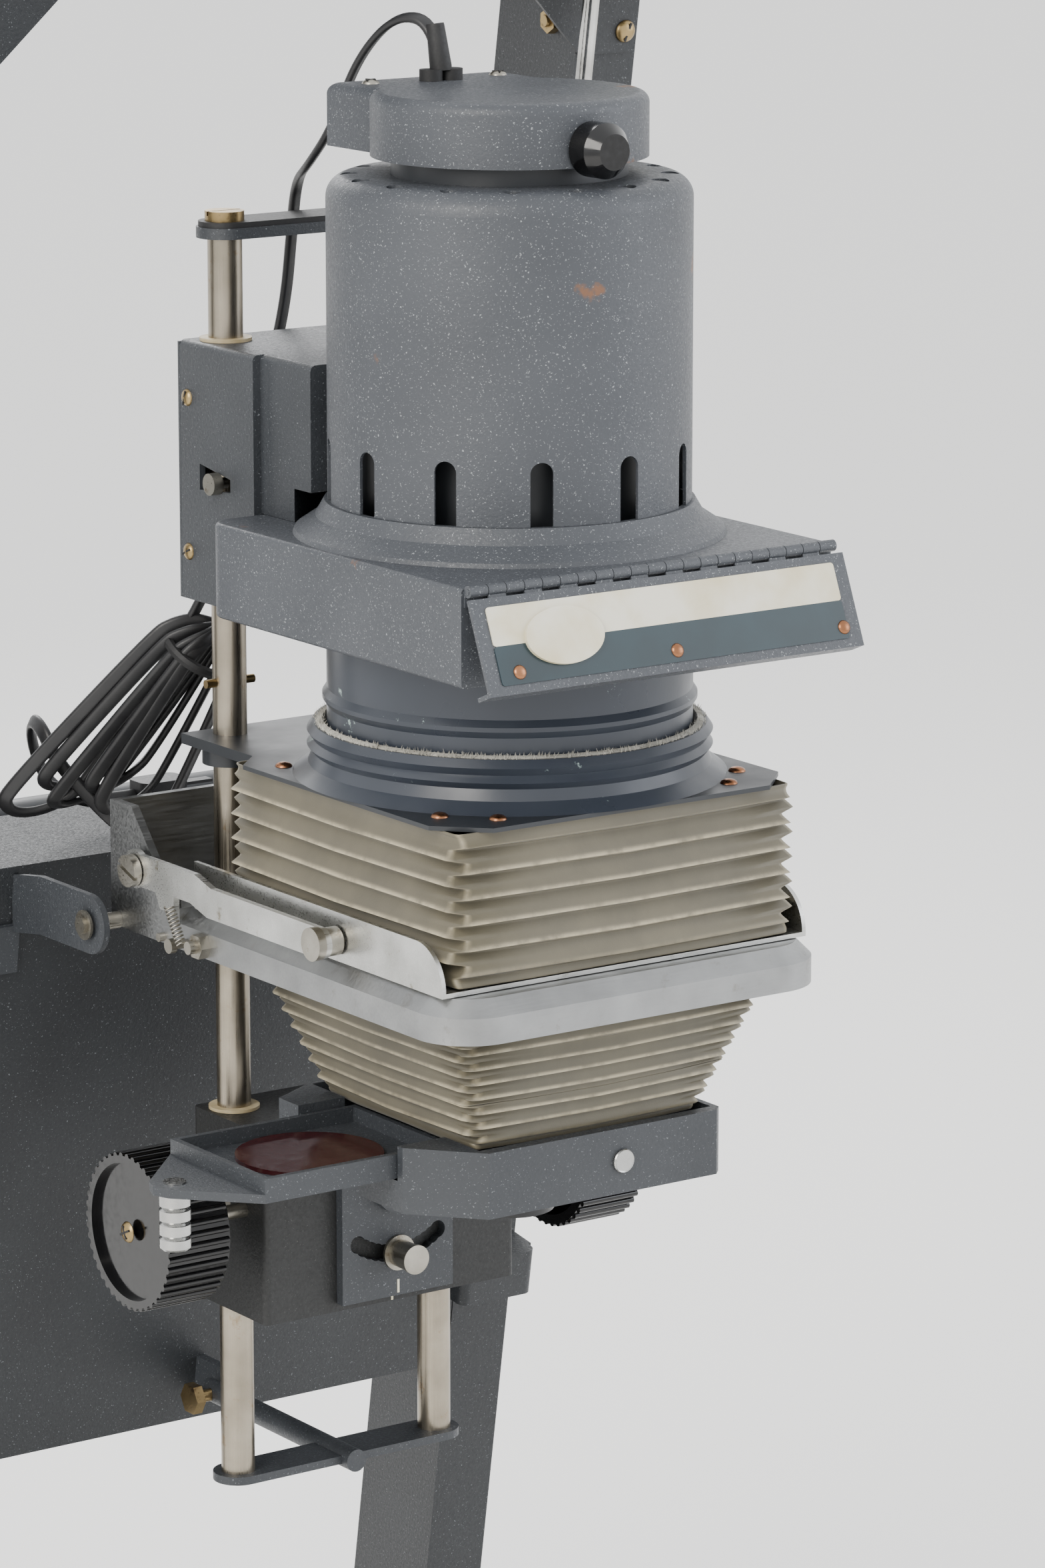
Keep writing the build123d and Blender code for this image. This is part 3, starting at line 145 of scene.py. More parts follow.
def mix(tree, factor, first, second):
    """Mix two colours, each a socket or sRGB hex."""
    node = add(tree, "ShaderNodeMix", {"data_type": "RGBA"})
    factor_input, first_input, second_input = node.inputs[0], node.inputs[6], node.inputs[7]
    tree.links.new(factor, factor_input)
    for colour_input, colour in ((first_input, first), (second_input, second)):
        if isinstance(colour, str):
            colour_input.default_value = linear(colour)
        else:
            tree.links.new(colour, colour_input)
    return node.outputs[2]


def bump(tree, shader, height, depth_mm, strength):
    """Relief that deep on the shader."""
    node = add(tree, "ShaderNodeBump", {"Strength": strength, "Distance": depth_mm * MM}, Height=height)
    tree.links.new(node.outputs["Normal"], shader.inputs["Normal"])


# ---------------------------------------------------------------- materials
def hammer_enamel(name, base, dark, fleck, fleck_low=0.66, roughness=0.5, rust=0.0):
    """Baked hammer-crinkle enamel: a fine pebbled skin with pale flecks that catch the light."""
    material, tree, shader, place = new_material(name, roughness)
    colour = ramp(tree, noise(tree, place, 60, 3), dark, base)
    pebble = noise(tree, place, 1.5, 4, 0.6)
    grain = noise(tree, place, 0.8, 1.5, 0.5, 0.6)
    colour = mix(tree, band(tree, grain, fleck_low, fleck_low + 0.05), colour, fleck)
    if rust:
        patches = band(tree, noise(tree, place, 38, 5, 0.6), 0.70 - rust, 0.74 - rust)
        colour = mix(tree, patches, colour, "6b4a34")
    tree.links.new(colour, shader.inputs["Base Color"])
    sheen = band(tree, pebble, 0.3, 0.7, roughness - 0.1, roughness + 0.12)
    tree.links.new(sheen, shader.inputs["Roughness"])
    bump(tree, shader, pebble, 0.35, 0.75)
    return material


def satin_enamel(name, base, dark, roughness, worn=0.0):
    """Smooth sprayed enamel: an even satin, with scuffs rubbed down to pale primer where it is worn."""
    material, tree, shader, place = new_material(name, roughness)
    colour = ramp(tree, noise(tree, place, 45, 4), dark, base)
    if worn:
        scuffs = band(tree, noise(tree, place, 18, 8, 0.8), 0.66 - worn, 0.68 - worn)
        colour = mix(tree, scuffs, colour, "8fa09d")
    tree.links.new(colour, shader.inputs["Base Color"])
    smear = noise(tree, place, 30, 5)
    tree.links.new(band(tree, smear, 0.3, 0.7, roughness - 0.06, roughness + 0.1), shader.inputs["Roughness"])
    bump(tree, shader, noise(tree, place, 2.2, 3), 0.05, 0.4)
    return material


def metal(name, base, dark, roughness, grain_mm, stain=None, depth=0.03):
    """Bare metal: drawn or linished lines along its longest grain size, and handling marks.

    Real lines are well under 0.1 mm apart. These are as coarse as they have to be to show.
    """
    material, tree, shader, place = new_material(name, roughness, 1.0)
    stretched = add(tree, "ShaderNodeMapping", {
        "Scale": [1.0 / (size * MM) for size in grain_mm],
    }, Vector=place).outputs["Vector"]
    lines = add(tree, "ShaderNodeTexNoise", {"Scale": 1.0, "Detail": 3.0}, Vector=stretched).outputs["Fac"]
    colour = ramp(tree, noise(tree, place, 22, 4), dark, base)
    if stain:
        spots = band(tree, noise(tree, place, 14, 7, 0.7), 0.60, 0.70)
        colour = mix(tree, spots, colour, stain)
    tree.links.new(colour, shader.inputs["Base Color"])
    sheen = band(tree, lines, 0.25, 0.75, roughness - 0.08, roughness + 0.12)
    tree.links.new(sheen, shader.inputs["Roughness"])
    bump(tree, shader, lines, depth, 0.5)
    return material


def moulded(name, base, dark, roughness, grain=1.2, depth=0.05):
    """Moulded plastic or rubber: an even body with a slight moulding skin and dust."""
    material, tree, shader, place = new_material(name, roughness)
    tree.links.new(ramp(tree, noise(tree, place, 12, 5), dark, base, 0.35), shader.inputs["Base Color"])
    skin = noise(tree, place, grain, 4)
    tree.links.new(band(tree, skin, 0.3, 0.7, roughness - 0.04, roughness + 0.08), shader.inputs["Roughness"])
    bump(tree, shader, skin, depth, 0.5)
    return material


def coated_cloth(name):
    """Rubber-coated bellows cloth: olive drab with a faint weave, its ridges rubbed pale.

    The weave is drawn at 0.7 mm, coarser than real thread, so that it shows.
    """
    material, tree, shader, place = new_material(name, 0.5)
    shader.inputs["Sheen Weight"].default_value = 0.15
    colour = ramp(tree, noise(tree, place, 40, 5, 0.6), "4f4a3b", "605a48")
    ridge = add(tree, "ShaderNodeAttribute", {"attribute_name": "ridge"}).outputs["Fac"]
    rubbed = add(tree, "ShaderNodeMath", {"operation": "MULTIPLY"})
    tree.links.new(ridge, rubbed.inputs[0])
    tree.links.new(band(tree, noise(tree, place, 9, 4, 0.6), 0.20, 0.55), rubbed.inputs[1])
    colour = mix(tree, rubbed.outputs[0], colour, "a79d83")
    stains = band(tree, noise(tree, place, 55, 6, 0.6), 0.58, 0.72, 0.0, 0.25)
    tree.links.new(mix(tree, stains, colour, "514b38"), shader.inputs["Base Color"])
    bump(tree, shader, noise(tree, place, 0.7, 2), 0.08, 0.5)
    return material


def glass(name, colour, roughness=0.05, transmission=1.0):
    """Polished glass, clear, opal or deep red, with dust."""
    material, tree, shader, place = new_material(name, roughness)
    shader.inputs["Transmission Weight"].default_value = transmission
    dust = noise(tree, place, 6, 6, 0.7)
    dusty = mix(tree, band(tree, dust, 0.55, 0.8, 0.0, 0.5), colour, "6d5c55")
    tree.links.new(dusty, shader.inputs["Base Color"])
    tree.links.new(band(tree, dust, 0.3, 0.7, roughness, roughness + 0.15), shader.inputs["Roughness"])
    return material


def printed_tinplate(name, base, dark):
    """Printed tinplate: a flat printed colour gone slightly yellow in patches, with small chips."""
    material, tree, shader, place = new_material(name, 0.35)
    colour = ramp(tree, noise(tree, place, 25, 5), dark, base, 0.35, 0.65)
    chips = band(tree, noise(tree, place, 11, 9, 0.8), 0.70, 0.72)
    tree.links.new(mix(tree, chips, colour, "9aa6a4"), shader.inputs["Base Color"])
    bump(tree, shader, noise(tree, place, 3, 3), 0.03, 0.4)
    return material


EVEN_GRAIN = (1, 1, 1)   # turned or plated metal, with no lines that show

MATERIALS = {
    # Plastic laminate pressed on board: pale grey, low sheen.
    "board_laminate": satin_enamel("grey_board_laminate", "8a8a86", "7c7c78", 0.45),
    # Moulded rubber: near black and matt.
    "rubber_black": moulded("black_moulded_rubber", "1c1c1d", "121213", 0.6),
    # Sprayed and baked hammer enamel in three greys: pebbled, with pale flecks.
    "crinkle_dark": hammer_enamel("charcoal_hammer_enamel", "232629", "1e2023", "666a6d", 0.68),
    "crinkle_mid": hammer_enamel("slate_hammer_enamel", "34373b", "2c2f33", "6e7276", 0.675, 0.48),
    "crinkle_light": hammer_enamel(
        "blue_grey_hammer_enamel", "42454a", "3a3d42", "8d9194", roughness=0.46, rust=0.012),
    # The same enamel in black, with few flecks.
    "crinkle_black": hammer_enamel("black_crinkle_enamel", "1c1d1d", "161717", "4a4a48", 0.70, 0.55),
    # Smooth sprayed enamel: an even satin, scuffed on the telescoping sleeve.
    "enamel_dark": satin_enamel("charcoal_satin_enamel", "26292d", "202327", 0.4),
    "enamel_smooth": satin_enamel("blue_grey_satin_enamel", "31363f", "2b3038", 0.32, 0.02),
    # Chromed drawn steel: a bright mirror with faint lines along the rod.
    "chromed_rod": metal("chromed_steel_rod", "d5d5d2", "a9a8a4", 0.14, (0.4, 0.4, 14)),
    # Zinc as it left the die: pale, grainy, gone brown in the hollows.
    "cast_zinc": metal("pale_cast_zinc", "c4c4b8", "a5a598", 0.42, (3, 3, 3), "8c7a62", 0.1),
    # Moulded nylon: black, with a soft sheen.
    "nylon_black": moulded("black_nylon", "232323", "191919", 0.5),
    # Nickelled drawn tube: warm grey, lines along the tube, brown handling marks.
    "satin_nickel": metal("satin_nickel_tube", "a69d8e", "8d8576", 0.30, (0.6, 0.6, 30), "8a7457"),
    # Brass that has dulled: yellow grey with brown spots.
    "aged_brass": metal("aged_brass", "a89268", "7c6a4a", 0.34, EVEN_GRAIN, "5e4c36"),
    # Sand-cast aluminium linished on its faces: lines across, a dull broad highlight.
    "cast_aluminium": metal(
        "linished_cast_aluminium", "9fa0a0", "8e8f8f", 0.38, (18, 1.2, 1.2), "888784", 0.08),
    # Zinc-plated steel gone dull: grey with yellow stains.
    "plated_steel": metal("dull_plated_steel", "b0aca2", "88847a", 0.33, EVEN_GRAIN, "6f6250"),
    # Cotton coated with rubber: a dull olive skin over the weave.
    "bellows_cloth": coated_cloth("olive_bellows_cloth"),
    # Wool pile: pale, dusty and fully matt.
    "pile_felt": moulded("frayed_wool_pile", "b9b6ac", "8f8c82", 0.9, 0.8, 0.4),
    # Extruded rubber flex: black, a little shinier than the moulded rubber.
    "cord_rubber": moulded("black_rubber_flex", "232324", "18181a", 0.42, 1.5, 0.03),
    # Natural nylon: cream, yellowed.
    "nylon_cream": moulded("cream_nylon", "c2b596", "a3936f", 0.5),
    # Ground and polished glass: clear, opal, and dyed deep red.
    "clear_glass": glass("clear_condenser_glass", "e8efef"),
    "opal_glass": glass("opal_bulb_glass", "d9d9d4", 0.25, 0.1),
    "red_glass": glass("deep_red_filter_glass", "3a0f14", 0.12, 0.35),
    # Pressed phenolic: black with a hard gloss.
    "black_bakelite": moulded("black_bakelite", "0b0b0c", "070708", 0.12, 3.0, 0.01),
    # Rolled sheet aluminium: pale, brushed across.
    "sheet_aluminium": metal("brushed_sheet_aluminium", "cfcfcc", "b2b2ae", 0.3, (22, 0.8, 0.8), "87806f"),
    # Anodised lens mount: black and smooth, its dyed oxide not metallic to the eye.
    "black_anodised": moulded("black_anodised_aluminium", "17181a", "101113", 0.3),
    # Turned aluminium: bright, with close tool lines.
    "turned_aluminium": metal("turned_aluminium", "bcbcba", "a2a2a0", 0.22, (1, 1, 0.4)),
    # Lithographed tinplate: flat cream and flat teal, with a slight gloss.
    "plate_cream": printed_tinplate("cream_printed_tinplate", "d9d5c4", "c9bf9d"),
    "plate_teal": printed_tinplate("teal_printed_tinplate", "1a2e34", "16272c"),
    # Copper rivet: dull orange brown.
    "copper": metal("dull_copper_rivet", "a87656", "7d543c", 0.3, EVEN_GRAIN),
}

for row in frame["record"]["subparts"]:
    node_object = bpy.data.objects.get(row["node"])
    if node_object:
        node_object.data.materials.clear()
        node_object.data.materials.append(MATERIALS[row["material_slot"]])


# ---------------------------------------------------------------- piece helpers
def piece_from(bm, name, material, body=None, replaced=(), smooth=30):
    """Turn a bmesh into a finished piece that rides on a body and stands for some CAD nodes."""
    mesh = bpy.data.meshes.new(name)
    bmesh.ops.recalc_face_normals(bm, faces=bm.faces)
    bm.to_mesh(mesh)
    bm.free()
    mesh.polygons.foreach_set("use_smooth", [True] * len(mesh.polygons))
    mesh.set_sharp_from_angle(angle=math.radians(smooth))
    mesh.materials.append(MATERIALS[material])
    piece = bpy.data.objects.new(name, mesh)
    bpy.context.scene.collection.objects.link(piece)
    if replaced:
        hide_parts(*replaced)
    if body:
        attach(piece, body)
    return piece


def turned_to(point, outward, roll=0.0):
    """The place of a round part at a point in mm, with its axis along outward."""
    aim = Vector(outward).to_track_quat("Z", "Y").to_matrix().to_4x4()
    return Matrix.Translation(Vector(point) * MM) @ aim @ Matrix.Rotation(math.radians(roll), 4, "Z")


def lathe(bm, profile, place, steps=32):
    """Spin a (radius, height) profile in mm round the place's own Z axis."""
    others = set(bm.verts)
    points = [bm.verts.new((r * MM, 0, h * MM)) for r, h in profile]
    edges = [bm.edges.new(pair) for pair in zip(points, points[1:])]
    bmesh.ops.spin(
        bm, geom=points + edges, cent=(0, 0, 0), axis=(0, 0, 1), angle=math.tau, steps=steps, use_merge=True,
    )
    made = [vert for vert in bm.verts if vert not in others]
    bmesh.ops.remove_doubles(bm, verts=made, dist=1e-6)
    bmesh.ops.transform(bm, matrix=place, verts=[vert for vert in made if vert.is_valid])


def bar(bm, place, size, centre=(0, 0, 0)):
    """A box of that size in mm about a centre, in the place's own axes."""
    made = bmesh.ops.create_cube(bm, size=1)["verts"]
    bmesh.ops.scale(bm, vec=[side * MM for side in size], verts=made)
    bmesh.ops.translate(bm, vec=[c * MM for c in centre], verts=made)
    bmesh.ops.transform(bm, matrix=place, verts=made)


def skin(bm, rings):
    """Faces between each ring of vertices and the next."""
    for ring_a, ring_b in zip(rings, rings[1:]):
        for i in range(len(ring_a)):
            j = (i + 1) % len(ring_a)
            bm.faces.new((ring_a[i], ring_a[j], ring_b[j], ring_b[i]))


def direction(path, index):
    """Which way a path runs at one of its points."""
    return (path[min(index + 1, len(path) - 1)] - path[max(index - 1, 0)]).normalized()


DOME = [(0.0, 1.0), (0.35, 0.95), (0.65, 0.76), (0.88, 0.45), (1.0, 0.0)]
HEAD_SUNK = 0.3          # how far a head's rim is let into the face it sits on, in mm


def domed_head(bm, place, radius, height, steps):
    """A low dome, as on a rivet or a screw."""
    lathe(bm, [(radius * r, height * h) for r, h in DOME] + [(radius, -HEAD_SUNK)], place, steps)


def screws(name, spots, radius, height, material, body, cross=False):
    """A row of like screws in one piece, with a black bar across each head as a second one: painted shade in
    the recessed slots.
    """
    heads = bmesh.new()
    slot_shade = bmesh.new()
    for index, (point, outward) in enumerate(spots):
        place = turned_to(point, outward, 25 + 47 * index)
        domed_head(heads, place, radius, height, 28)
        # A black bar across the head: painted shade where the slot is recessed.
        bar(slot_shade, place, (radius * 1.7, radius * 0.2, 0.5), (0, 0, height * 0.86))
        if cross:
            bar(slot_shade, place, (radius * 0.2, radius * 1.3, 0.5), (0, 0, height * 0.9))
    piece_from(heads, name, material, body)
    # The slot bars are black rubber: painted shade, not a part of the screw.
    piece_from(slot_shade, name + "_painted_slot_shade", "rubber_black", body)


def rivets(name, spots, radius, height, body):
    """A row of plain copper rivets."""
    bm = bmesh.new()
    for point, outward in spots:
        domed_head(bm, turned_to(point, outward), radius, height, 20)
    piece_from(bm, name, "copper", body)


# ---------------------------------------------------------------- lamp lead
def route_points(points_mm):
    """Listed points in mm, as vectors in metres."""
    return [Vector(point) * MM for point in points_mm]


LEAD_ROUTE = route_points([
    (0, -67, 1020.6), (-1, -64, 1040), (-8, -44, 1043), (-16, -24, 1022), (-22, -14, 992), (-20, 10, 972),
    (-10, 36, 962), (-4, 50, 935), (-6, 52, 905), (-14, 52, 875), (-24, 53, 848), (-34, 57, 818),
    (-41, 62, 790), (-42, 62, 770.05),
])
PLUG_ROUTE = route_points([
    (-92, 122, 684), (-95, 129, 699), (-93, 143, 702), (-88, 152, 688), (-80, 152, 667), (-62, 149, 656),
    (-46, 148, 655.5), (-33.5, 148, 655.5),
])
HANK_TOP = Vector((-0.042, 0.062, 0.752))
HANK_LOW = Vector((-0.082, 0.122, 0.655))
HANK_FOLDS = 6
FOLD_POINTS = 12
TOP_TURN = 0.0145
LOW_TURN = 0.0190
LEAD_JOINS_AT = 3        # the lead runs straight into the first fold's low turn
PLUG_LEAVES_AT = 4       # the plug's end leaves the last fold on its way up
FOLD_PITCH = 0.0035      # how far each fold lies behind the one before
CORD_WIDTH = 0.007


def hank_route():
    """Long folds, straight down and back between two round turns, fanned out below the tie."""
    down = (HANK_LOW - HANK_TOP).normalized()
    across = Vector((1, 0, 0))
    deep = down.cross(across).normalized()
    length = (HANK_LOW - HANK_TOP).length
    points = []
    for fold in range(HANK_FOLDS):
        fan = fold / (HANK_FOLDS - 1) - 0.5
        reach = length * (1.0 - 0.20 * (0.618 * fold % 1.0))
        for step in range(FOLD_POINTS):
            angle = math.tau * (step + 0.5) / FOLD_POINTS
            upper_turn = math.cos(angle) > 0
            turn_radius = TOP_TURN if upper_turn else LOW_TURN
            middle = TOP_TURN if upper_turn else reach - LOW_TURN
            along = middle - turn_radius * math.cos(angle)
            drift = fan * (0.004 + 0.044 * along / length)
            depth = (fold + step / FOLD_POINTS - HANK_FOLDS / 2) * FOLD_PITCH
            points.append(
                HANK_TOP + down * along + across * (turn_radius * math.sin(angle) + drift)
                + deep * (depth + 0.004 * math.sin(angle + fold))
            )
    return points[LEAD_JOINS_AT:-PLUG_LEAVES_AT]


def smooth_path(name, points):
    """The points that a smooth curve with those control points passes through."""
    curve = bpy.data.curves.new(name, "CURVE")
    curve.dimensions = "3D"
    curve.resolution_u = 8
    spline = curve.splines.new("NURBS")
    spline.points.add(len(points) - 1)
    for control, point in zip(spline.points, points):
        control.co = (*point, 1.0)
    spline.order_u = 3
    spline.use_endpoint_u = True
    holder = bpy.data.objects.new("reading", curve)
    bpy.context.scene.collection.objects.link(holder)
    mesh = bpy.data.meshes.new_from_object(holder.evaluated_get(bpy.context.evaluated_depsgraph_get()))
    path = [vert.co.copy() for vert in mesh.vertices]
    bpy.data.objects.remove(holder)
    bpy.data.meshes.remove(mesh)
    return path


def twin_flex(name, path, width):
    """A twin flex: two cores side by side, the flat turned smoothly along the path."""
    core_steps = 6
    core_radius = width / 4
    outline = []
    for core in (-1, 1):
        for index in range(core_steps + 1):
            angle = math.pi * (index / core_steps - 0.5)
            outline.append((core * core_radius * (1 + math.cos(angle)), core * core_radius * math.sin(angle)))
    bm = bmesh.new()
    side = Vector((1, 0, 0))
    rings = []
    for index, point in enumerate(path):
        along = direction(path, index)
        side = (side - along * side.dot(along)).normalized()
        thick = along.cross(side)
        rings.append([bm.verts.new(point + side * x + thick * y) for x, y in outline])
    skin(bm, rings)
    bm.faces.new(rings[0])
    bm.faces.new(rings[-1])
    return piece_from(bm, name, "cord_rubber", None, (), 60)


lead_path = smooth_path("lead_line", LEAD_ROUTE + hank_route() + PLUG_ROUTE)
lead = twin_flex("twin_flex", lead_path, CORD_WIDTH)
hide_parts("cord_lead", "cord_hank")
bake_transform(lead)

relief = bmesh.new()
lathe(relief, [(0, -1), (4.8, -1), (5.0, 1), (4.1, 19), (3.9, 20), (0, 20)],
      turned_to((0, -67, 1020), LEAD_ROUTE[1] - LEAD_ROUTE[0]), 24)
strain_relief = piece_from(relief, "lead_strain_relief", "rubber_black", "head")

tie = bmesh.new()
tie_axis = HANK_LOW - HANK_TOP
lathe(tie, [(15, -2.5), (17, -2), (17.6, 0), (17, 2), (15, 2.5), (15, -2.5)],
      turned_to((HANK_TOP + tie_axis * 0.12) / MM, tie_axis), 28)
hank_tie = piece_from(tie, "hank_tie", "rubber_black", "elevator")

# ---------------------------------------------------------------- pleated bellows
AXIS = Vector((0, AXIS_Y / MM, 0))
CORNER_ROUND = 3.0       # the fold at a corner, in mm
LEAN_IN = 0.84           # the share of a pleat that leans in before it is tucked back
CLOTH_THICK = 0.0006


def pleat_depth(along, pleats, phase, depth):
    """How far in the cloth is: out at a ridge, leaning in as it rises, then tucked out under the next."""
    share = (along * pleats + phase) % 1.0
    inward = share / LEAN_IN if share < LEAN_IN else (1.0 - share) / (1.0 - LEAN_IN)
    return depth * (inward * inward * (3 - 2 * inward) * 0.35 + inward * 0.65)


def ring_vert(bm, spot, layer, ridge):
    """A vertex at a point in mm about the optical axis, with its share of ridge wear."""
    vert = bm.verts.new((spot + AXIS) * MM)
    vert[layer] = ridge
    return vert


def pleat_ring(bm, layer, half, height, depths, settle, pleat, depth, seed):
    """One level of the cloth, round its four sides: depths are those of the even and the odd sides."""
    steps = 10
    ring = []
    for side in range(4):
        turn = Matrix.Rotation(math.pi / 2 * side, 3, "Z")
        own, other = depths[side % 2], depths[(side + 1) % 2]
        reach = half - other - CORNER_ROUND
        wander = math.sin(seed + 1.7 * side + 2.3 * math.floor(pleat + 0.5 * (side % 2)))
        for index in range(steps + 1):
            share = 2 * index / steps - 1
            middle = 1 - abs(share)
            shallow = own * (1.0 - 0.45 * min(1.0, 2.5 * middle))
            spot = turn @ Vector((
                half - shallow + 0.8 * wander * middle, share * reach, height - 0.9 * middle * settle))
            ring.append(ring_vert(bm, spot, layer, max(0.0, 1.0 - 6.0 * own / depth)))
        corner = turn @ Vector((half - own, half - other, height))
        past = turn @ Vector((half - own - CORNER_ROUND, half - other, height))
        ring.append(ring_vert(bm, (ring[-1].co / MM - AXIS).lerp(past, 0.5).lerp(corner, 0.5), layer, 0.5))
    return ring


def bellows(name, foot, head, pleats, depth, body_pair, replaced, seed, part=None):
    """Folded cloth between two squares (half side, height) in mm.

    The pleats of neighbouring sides are half a step apart, and that is what folds the corners.
    part picks a run of whole pleats.
    """
    steps_up = 20
    (half_low, z_low), (half_high, z_high) = foot, head
    first, last = part or (0, pleats)
    bm = bmesh.new()
    layer = bm.verts.layers.float.new("ridge")
    rings = []
    for level in range(first * steps_up, last * steps_up + 1):
        along = level / (pleats * steps_up)
        settle = min(1.0, along * pleats * 1.5, (1 - along) * pleats * 1.5)
        depths = [pleat_depth(along, pleats, phase, depth) * settle + (1 - settle) * depth * 0.5
                  for phase in (0.0, 0.5)]
        rings.append(pleat_ring(
            bm, layer, half_low + (half_high - half_low) * along, z_low + (z_high - z_low) * along,
            depths, settle, along * pleats, depth, seed))
    skin(bm, rings)
    piece = piece_from(bm, name, "bellows_cloth", None, replaced, 70)
    piece.modifiers.new("cloth", "SOLIDIFY").thickness = CLOTH_THICK
    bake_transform(piece)


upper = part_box("upper_bellows")
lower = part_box("lower_bellows")
bellows("upper_pleats", (93, upper[0].z / MM), (93, 711), 6, 8, ("lift", "elevator"), ("upper_bellows",), 0.4)
LOWER = ((62, lower[0].z / MM), (85, lower[1].z / MM), 8, 6.5)
bellows("lower_pleats_tilting", *LOWER, ("lens_stage", "focus_carriage"), ("lower_bellows",), 1.9, (0, 3))
bellows("lower_pleats", *LOWER, ("focus_carriage", "elevator"), ("lower_bellows",), 1.9, (3, 8))

# ---------------------------------------------------------------- frayed pile in the collar gap
PILE_FOOT_Z = 0.726
TUFT_ROOT_Z = 735.5
TUFTS = 1500
TUFT_HALF = 0.35
random.seed(5)
pile = bmesh.new()
lathe(pile, [(82.2, 0), (87.4, 0), (87.6, 8), (86, 10.5), (83.5, 11), (82.2, 9), (82.2, 0)],
      Matrix.Translation((0, AXIS_Y, PILE_FOOT_Z)), 96)
for _ in range(TUFTS):
    angle = random.uniform(0, math.tau)
    radius = random.uniform(83.0, 87.3)
    outward = Vector((math.cos(angle), math.sin(angle), 0))
    around = Vector((-math.sin(angle), math.cos(angle), 0))
    root = outward * radius + AXIS + Vector((0, 0, TUFT_ROOT_Z))
    lean = Vector((random.gauss(0, 0.9), random.gauss(0, 0.9), random.uniform(1.2, 3.4)))
    foot = [pile.verts.new((root + step * TUFT_HALF) * MM) for step in (around, -around, outward)]
    tip = pile.verts.new((root + lean) * MM)
    for i in range(3):
        pile.faces.new((foot[i], foot[(i + 1) % 3], tip))
piece_from(pile, "frayed_pile", "pile_felt", "elevator", ("seal_ring",), 60)

# ---------------------------------------------------------------- name plate on the flap
FLAP_TILT = math.radians(22.6)
flap_frame = Matrix.Translation((0, -0.228, 0.820)) @ Matrix.Rotation(math.radians(90) - FLAP_TILT, 4, "X")
flap_outward = flap_frame.to_3x3() @ Vector((0, 0, 1))


def plate(name, size, centre, lift, thickness, material, oval=False):
    """A thin plate lying on the flap, with rounded corners, or an oval one. Sizes are in mm."""
    bm = bmesh.new()
    if oval:
        bmesh.ops.create_circle(bm, cap_ends=True, radius=0.5, segments=48)
    else:
        bmesh.ops.create_grid(bm, x_segments=1, y_segments=1, size=0.5)
    bmesh.ops.scale(bm, vec=(size[0] * MM, size[1] * MM, 1), verts=bm.verts)
    if not oval:
        bmesh.ops.bevel(
            bm, geom=list(bm.verts), affect="VERTICES", offset=1.5 * MM, segments=5, profile=0.5, material=-1)
    rim = bmesh.ops.extrude_face_region(bm, geom=list(bm.faces))
    raised = [item for item in rim["geom"] if isinstance(item, bmesh.types.BMVert)]
    bmesh.ops.translate(bm, vec=(0, 0, thickness * MM), verts=raised)
    bmesh.ops.translate(bm, vec=(centre[0] * MM, centre[1] * MM, lift * MM), verts=bm.verts)
    bmesh.ops.transform(bm, matrix=flap_frame, verts=bm.verts)
    piece_from(bm, name, material, "flap")


plate("name_plate_upper", (184, 17), (0, -16.5), 2.62, 0.5, "plate_cream")
plate("name_plate_lower", (184, 17), (0, -33.5), 2.62, 0.5, "plate_teal")
plate("blank_medallion", (40, 25), (-56, -24), 3.1, 1.6, "plate_cream", True)
rivets("plate_rivets", [
    (flap_frame @ Vector((x * MM, -0.037, 0.0031)) / MM, flap_outward) for x in (-82, 0, 90)
], 3.2, 1.6, "flap")

# ---------------------------------------------------------------- small fastenings
COLLAR_PLATE_TOP = 713
CAP_TOP = 1015
BOX_SIDE_X = 72
KNOB_FACE_X = 133
LEVER_SPRING_X = 111
FOCUS_SHAFT = (-5, 492)
UP = (0, 0, 1)
SIDES = (-1, 1)
lean_front = Vector((0, -math.cos(LEAN), -math.sin(LEAN)))

rivets("collar_plate_rivets", [
    ((x, AXIS_Y / MM + y, COLLAR_PLATE_TOP), UP)
    for x, y in ((80, 62), (-80, 62), (80, -62), (-80, -62), (62, -80), (-62, -80))
], 4, 2, "elevator")
screws("cap_screws", [((side * 34, -62, CAP_TOP), UP) for side in SIDES],
       4, 2, "plated_steel", "head", True)
screws("box_side_screws", [((side * BOX_SIDE_X, 33, z), (side, 0, 0)) for side in SIDES for z in (796, 867)],
       4, 2, "aged_brass", "head")
screws("knob_screws", [((side * KNOB_FACE_X, *FOCUS_SHAFT), (side, 0, 0)) for side in SIDES],
       5, 2, "aged_brass", "focus_shaft", True)
screws("brace_screws", [((side * 191, 57.4, 1017), lean_front) for side in SIDES],
       5.5, 2.6, "aged_brass", "root")

nuts = bmesh.new()
for side in SIDES:
    inner = turned_to((side * 165, 79, 1022), (-side, 0, 0))
    hexagon = bmesh.ops.create_cone(
        nuts, cap_ends=True, segments=6, radius1=6.5 * MM, radius2=6.2 * MM, depth=9 * MM)["verts"]
    bmesh.ops.transform(nuts, matrix=inner, verts=hexagon)
    lathe(nuts, [(0, 6.5), (2.8, 6.5), (3, 6.1), (3, 4), (0, 4)], inner, 16)
piece_from(nuts, "brace_nuts", "aged_brass", "root")


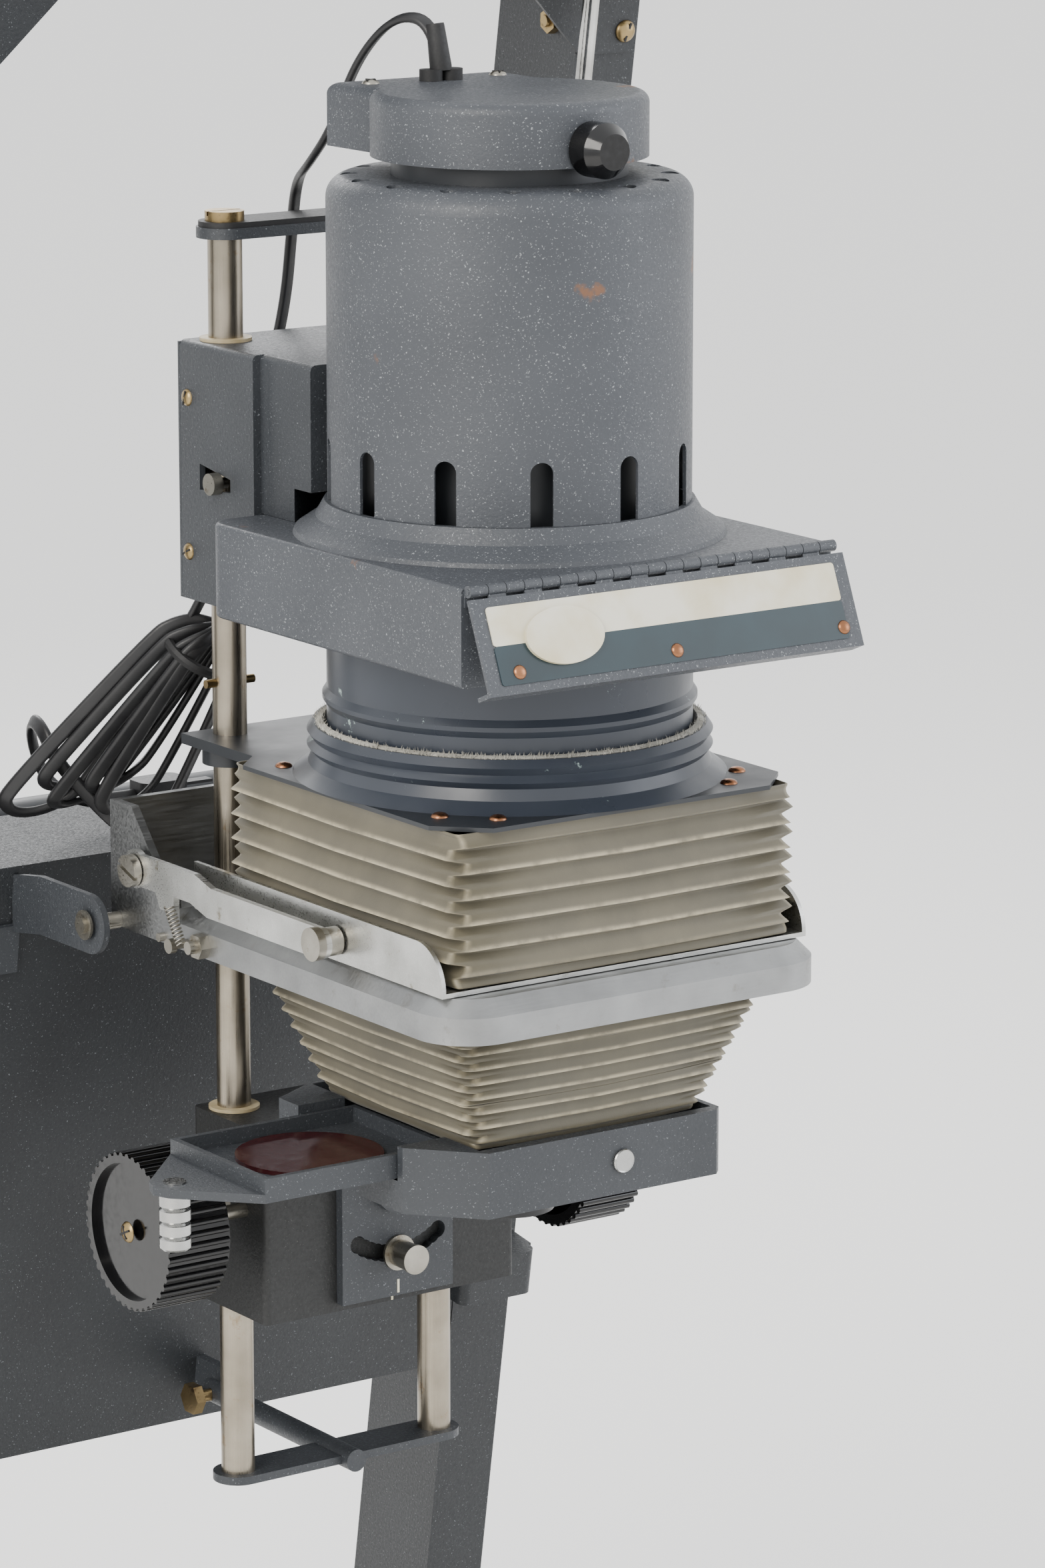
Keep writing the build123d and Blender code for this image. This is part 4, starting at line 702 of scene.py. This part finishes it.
def coil_spring(name, low, high, coil_radius, wire_radius, turns, body):
    """A closed extension spring between two points in mm."""
    steps_round = 14
    wire_sides = 8
    low, high = Vector(low), Vector(high)
    turn = (high - low).to_track_quat("Z", "Y").to_matrix()
    length = (high - low).length
    path = []
    for step in range(turns * steps_round + 1):
        angle = math.tau * step / steps_round
        path.append((low + turn @ Vector((
            coil_radius * math.cos(angle), coil_radius * math.sin(angle),
            length * step / (turns * steps_round)))) * MM)
    bm = bmesh.new()
    side = direction(path, 0).orthogonal().normalized()
    rings = []
    for index, point in enumerate(path):
        along = direction(path, index)
        side = (side - along * side.dot(along)).normalized()
        thick = along.cross(side)
        rings.append([
            bm.verts.new(point + (side * math.cos(a) + thick * math.sin(a)) * wire_radius * MM)
            for a in (math.tau * k / wire_sides for k in range(wire_sides))])
    skin(bm, rings)
    bm.faces.new(rings[0])
    bm.faces.new(rings[-1])
    piece_from(bm, name, "plated_steel", body, (), 60)


for side, label in zip(SIDES, ("left", "right")):
    coil_spring("lever_spring_" + label, (side * LEVER_SPRING_X, -19, 627), (side * LEVER_SPRING_X, -9, 643),
                2.2, 0.42, 11, "elevator")


def index_mark(name, height, centre, body):
    """A painted index line, as a sliver of plate."""
    bm = bmesh.new()
    bar(bm, Matrix.Identity(4), (1.1, 0.3, height), centre)
    piece_from(bm, name, "plate_cream", body)


index_mark("tilt_mark_stage", 6.5, (0, -28.4, 448.5), "lens_stage")
index_mark("tilt_mark_carriage", 3, (0, -23.1, 441.8), "focus_carriage")

badge = bmesh.new()
lathe(badge, [(0, 1.4), (4.6, 1.4), (5.1, 1.7), (5.5, 1.2), (5.5, 0)], turned_to((10, -193, 547), (0, -1, 0)))
piece_from(badge, "round_badge", "turned_aluminium", "lens_stage")


# ---------------------------------------------------------------- floor and light
LIT_POINT = Vector((0, 0, 0.8))


def pale_floor(half_side):
    """A flat floor, wide enough to reach the horizon in every view."""
    bm = bmesh.new()
    bmesh.ops.create_grid(bm, x_segments=1, y_segments=1, size=half_side)
    mesh = bpy.data.meshes.new("floor")
    bm.to_mesh(mesh)
    bm.free()
    floor = bpy.data.objects.new("floor", mesh)
    bpy.context.scene.collection.objects.link(floor)
    material, _, shader, _ = new_material("pale_floor", 0.8)
    shader.inputs["Base Color"].default_value = linear("f2f1ef")
    mesh.materials.append(material)


def softbox(name, spot, size, power, colour="ffffff"):
    """A rectangular soft light aimed at the middle of the stand."""
    data = bpy.data.lights.new(name, "AREA")
    data.shape = "RECTANGLE"
    data.size, data.size_y = size
    data.energy = power
    data.color = linear(colour)[:3]
    lamp = bpy.data.objects.new(name, data)
    bpy.context.scene.collection.objects.link(lamp)
    away = Vector(spot) - LIT_POINT
    lamp.matrix_world = Matrix.Translation(spot) @ away.to_track_quat("Z", "Y").to_matrix().to_4x4()


world = bpy.data.worlds.new("studio")
world.use_nodes = True
world.node_tree.nodes["Background"].inputs["Color"].default_value = linear("f6f7f8")
world.node_tree.nodes["Background"].inputs["Strength"].default_value = 1.75
bpy.context.scene.world = world
softbox("key", (-2.6, -1.2, 2.4), (1.4, 1.8), 85, "fffaf2")
softbox("fill", (2.4, -1.8, 1.5), (1.8, 1.8), 35, "f2f6ff")
softbox("rim", (0.8, 2.4, 2.3), (1.2, 1.2), 40)
pale_floor(30)
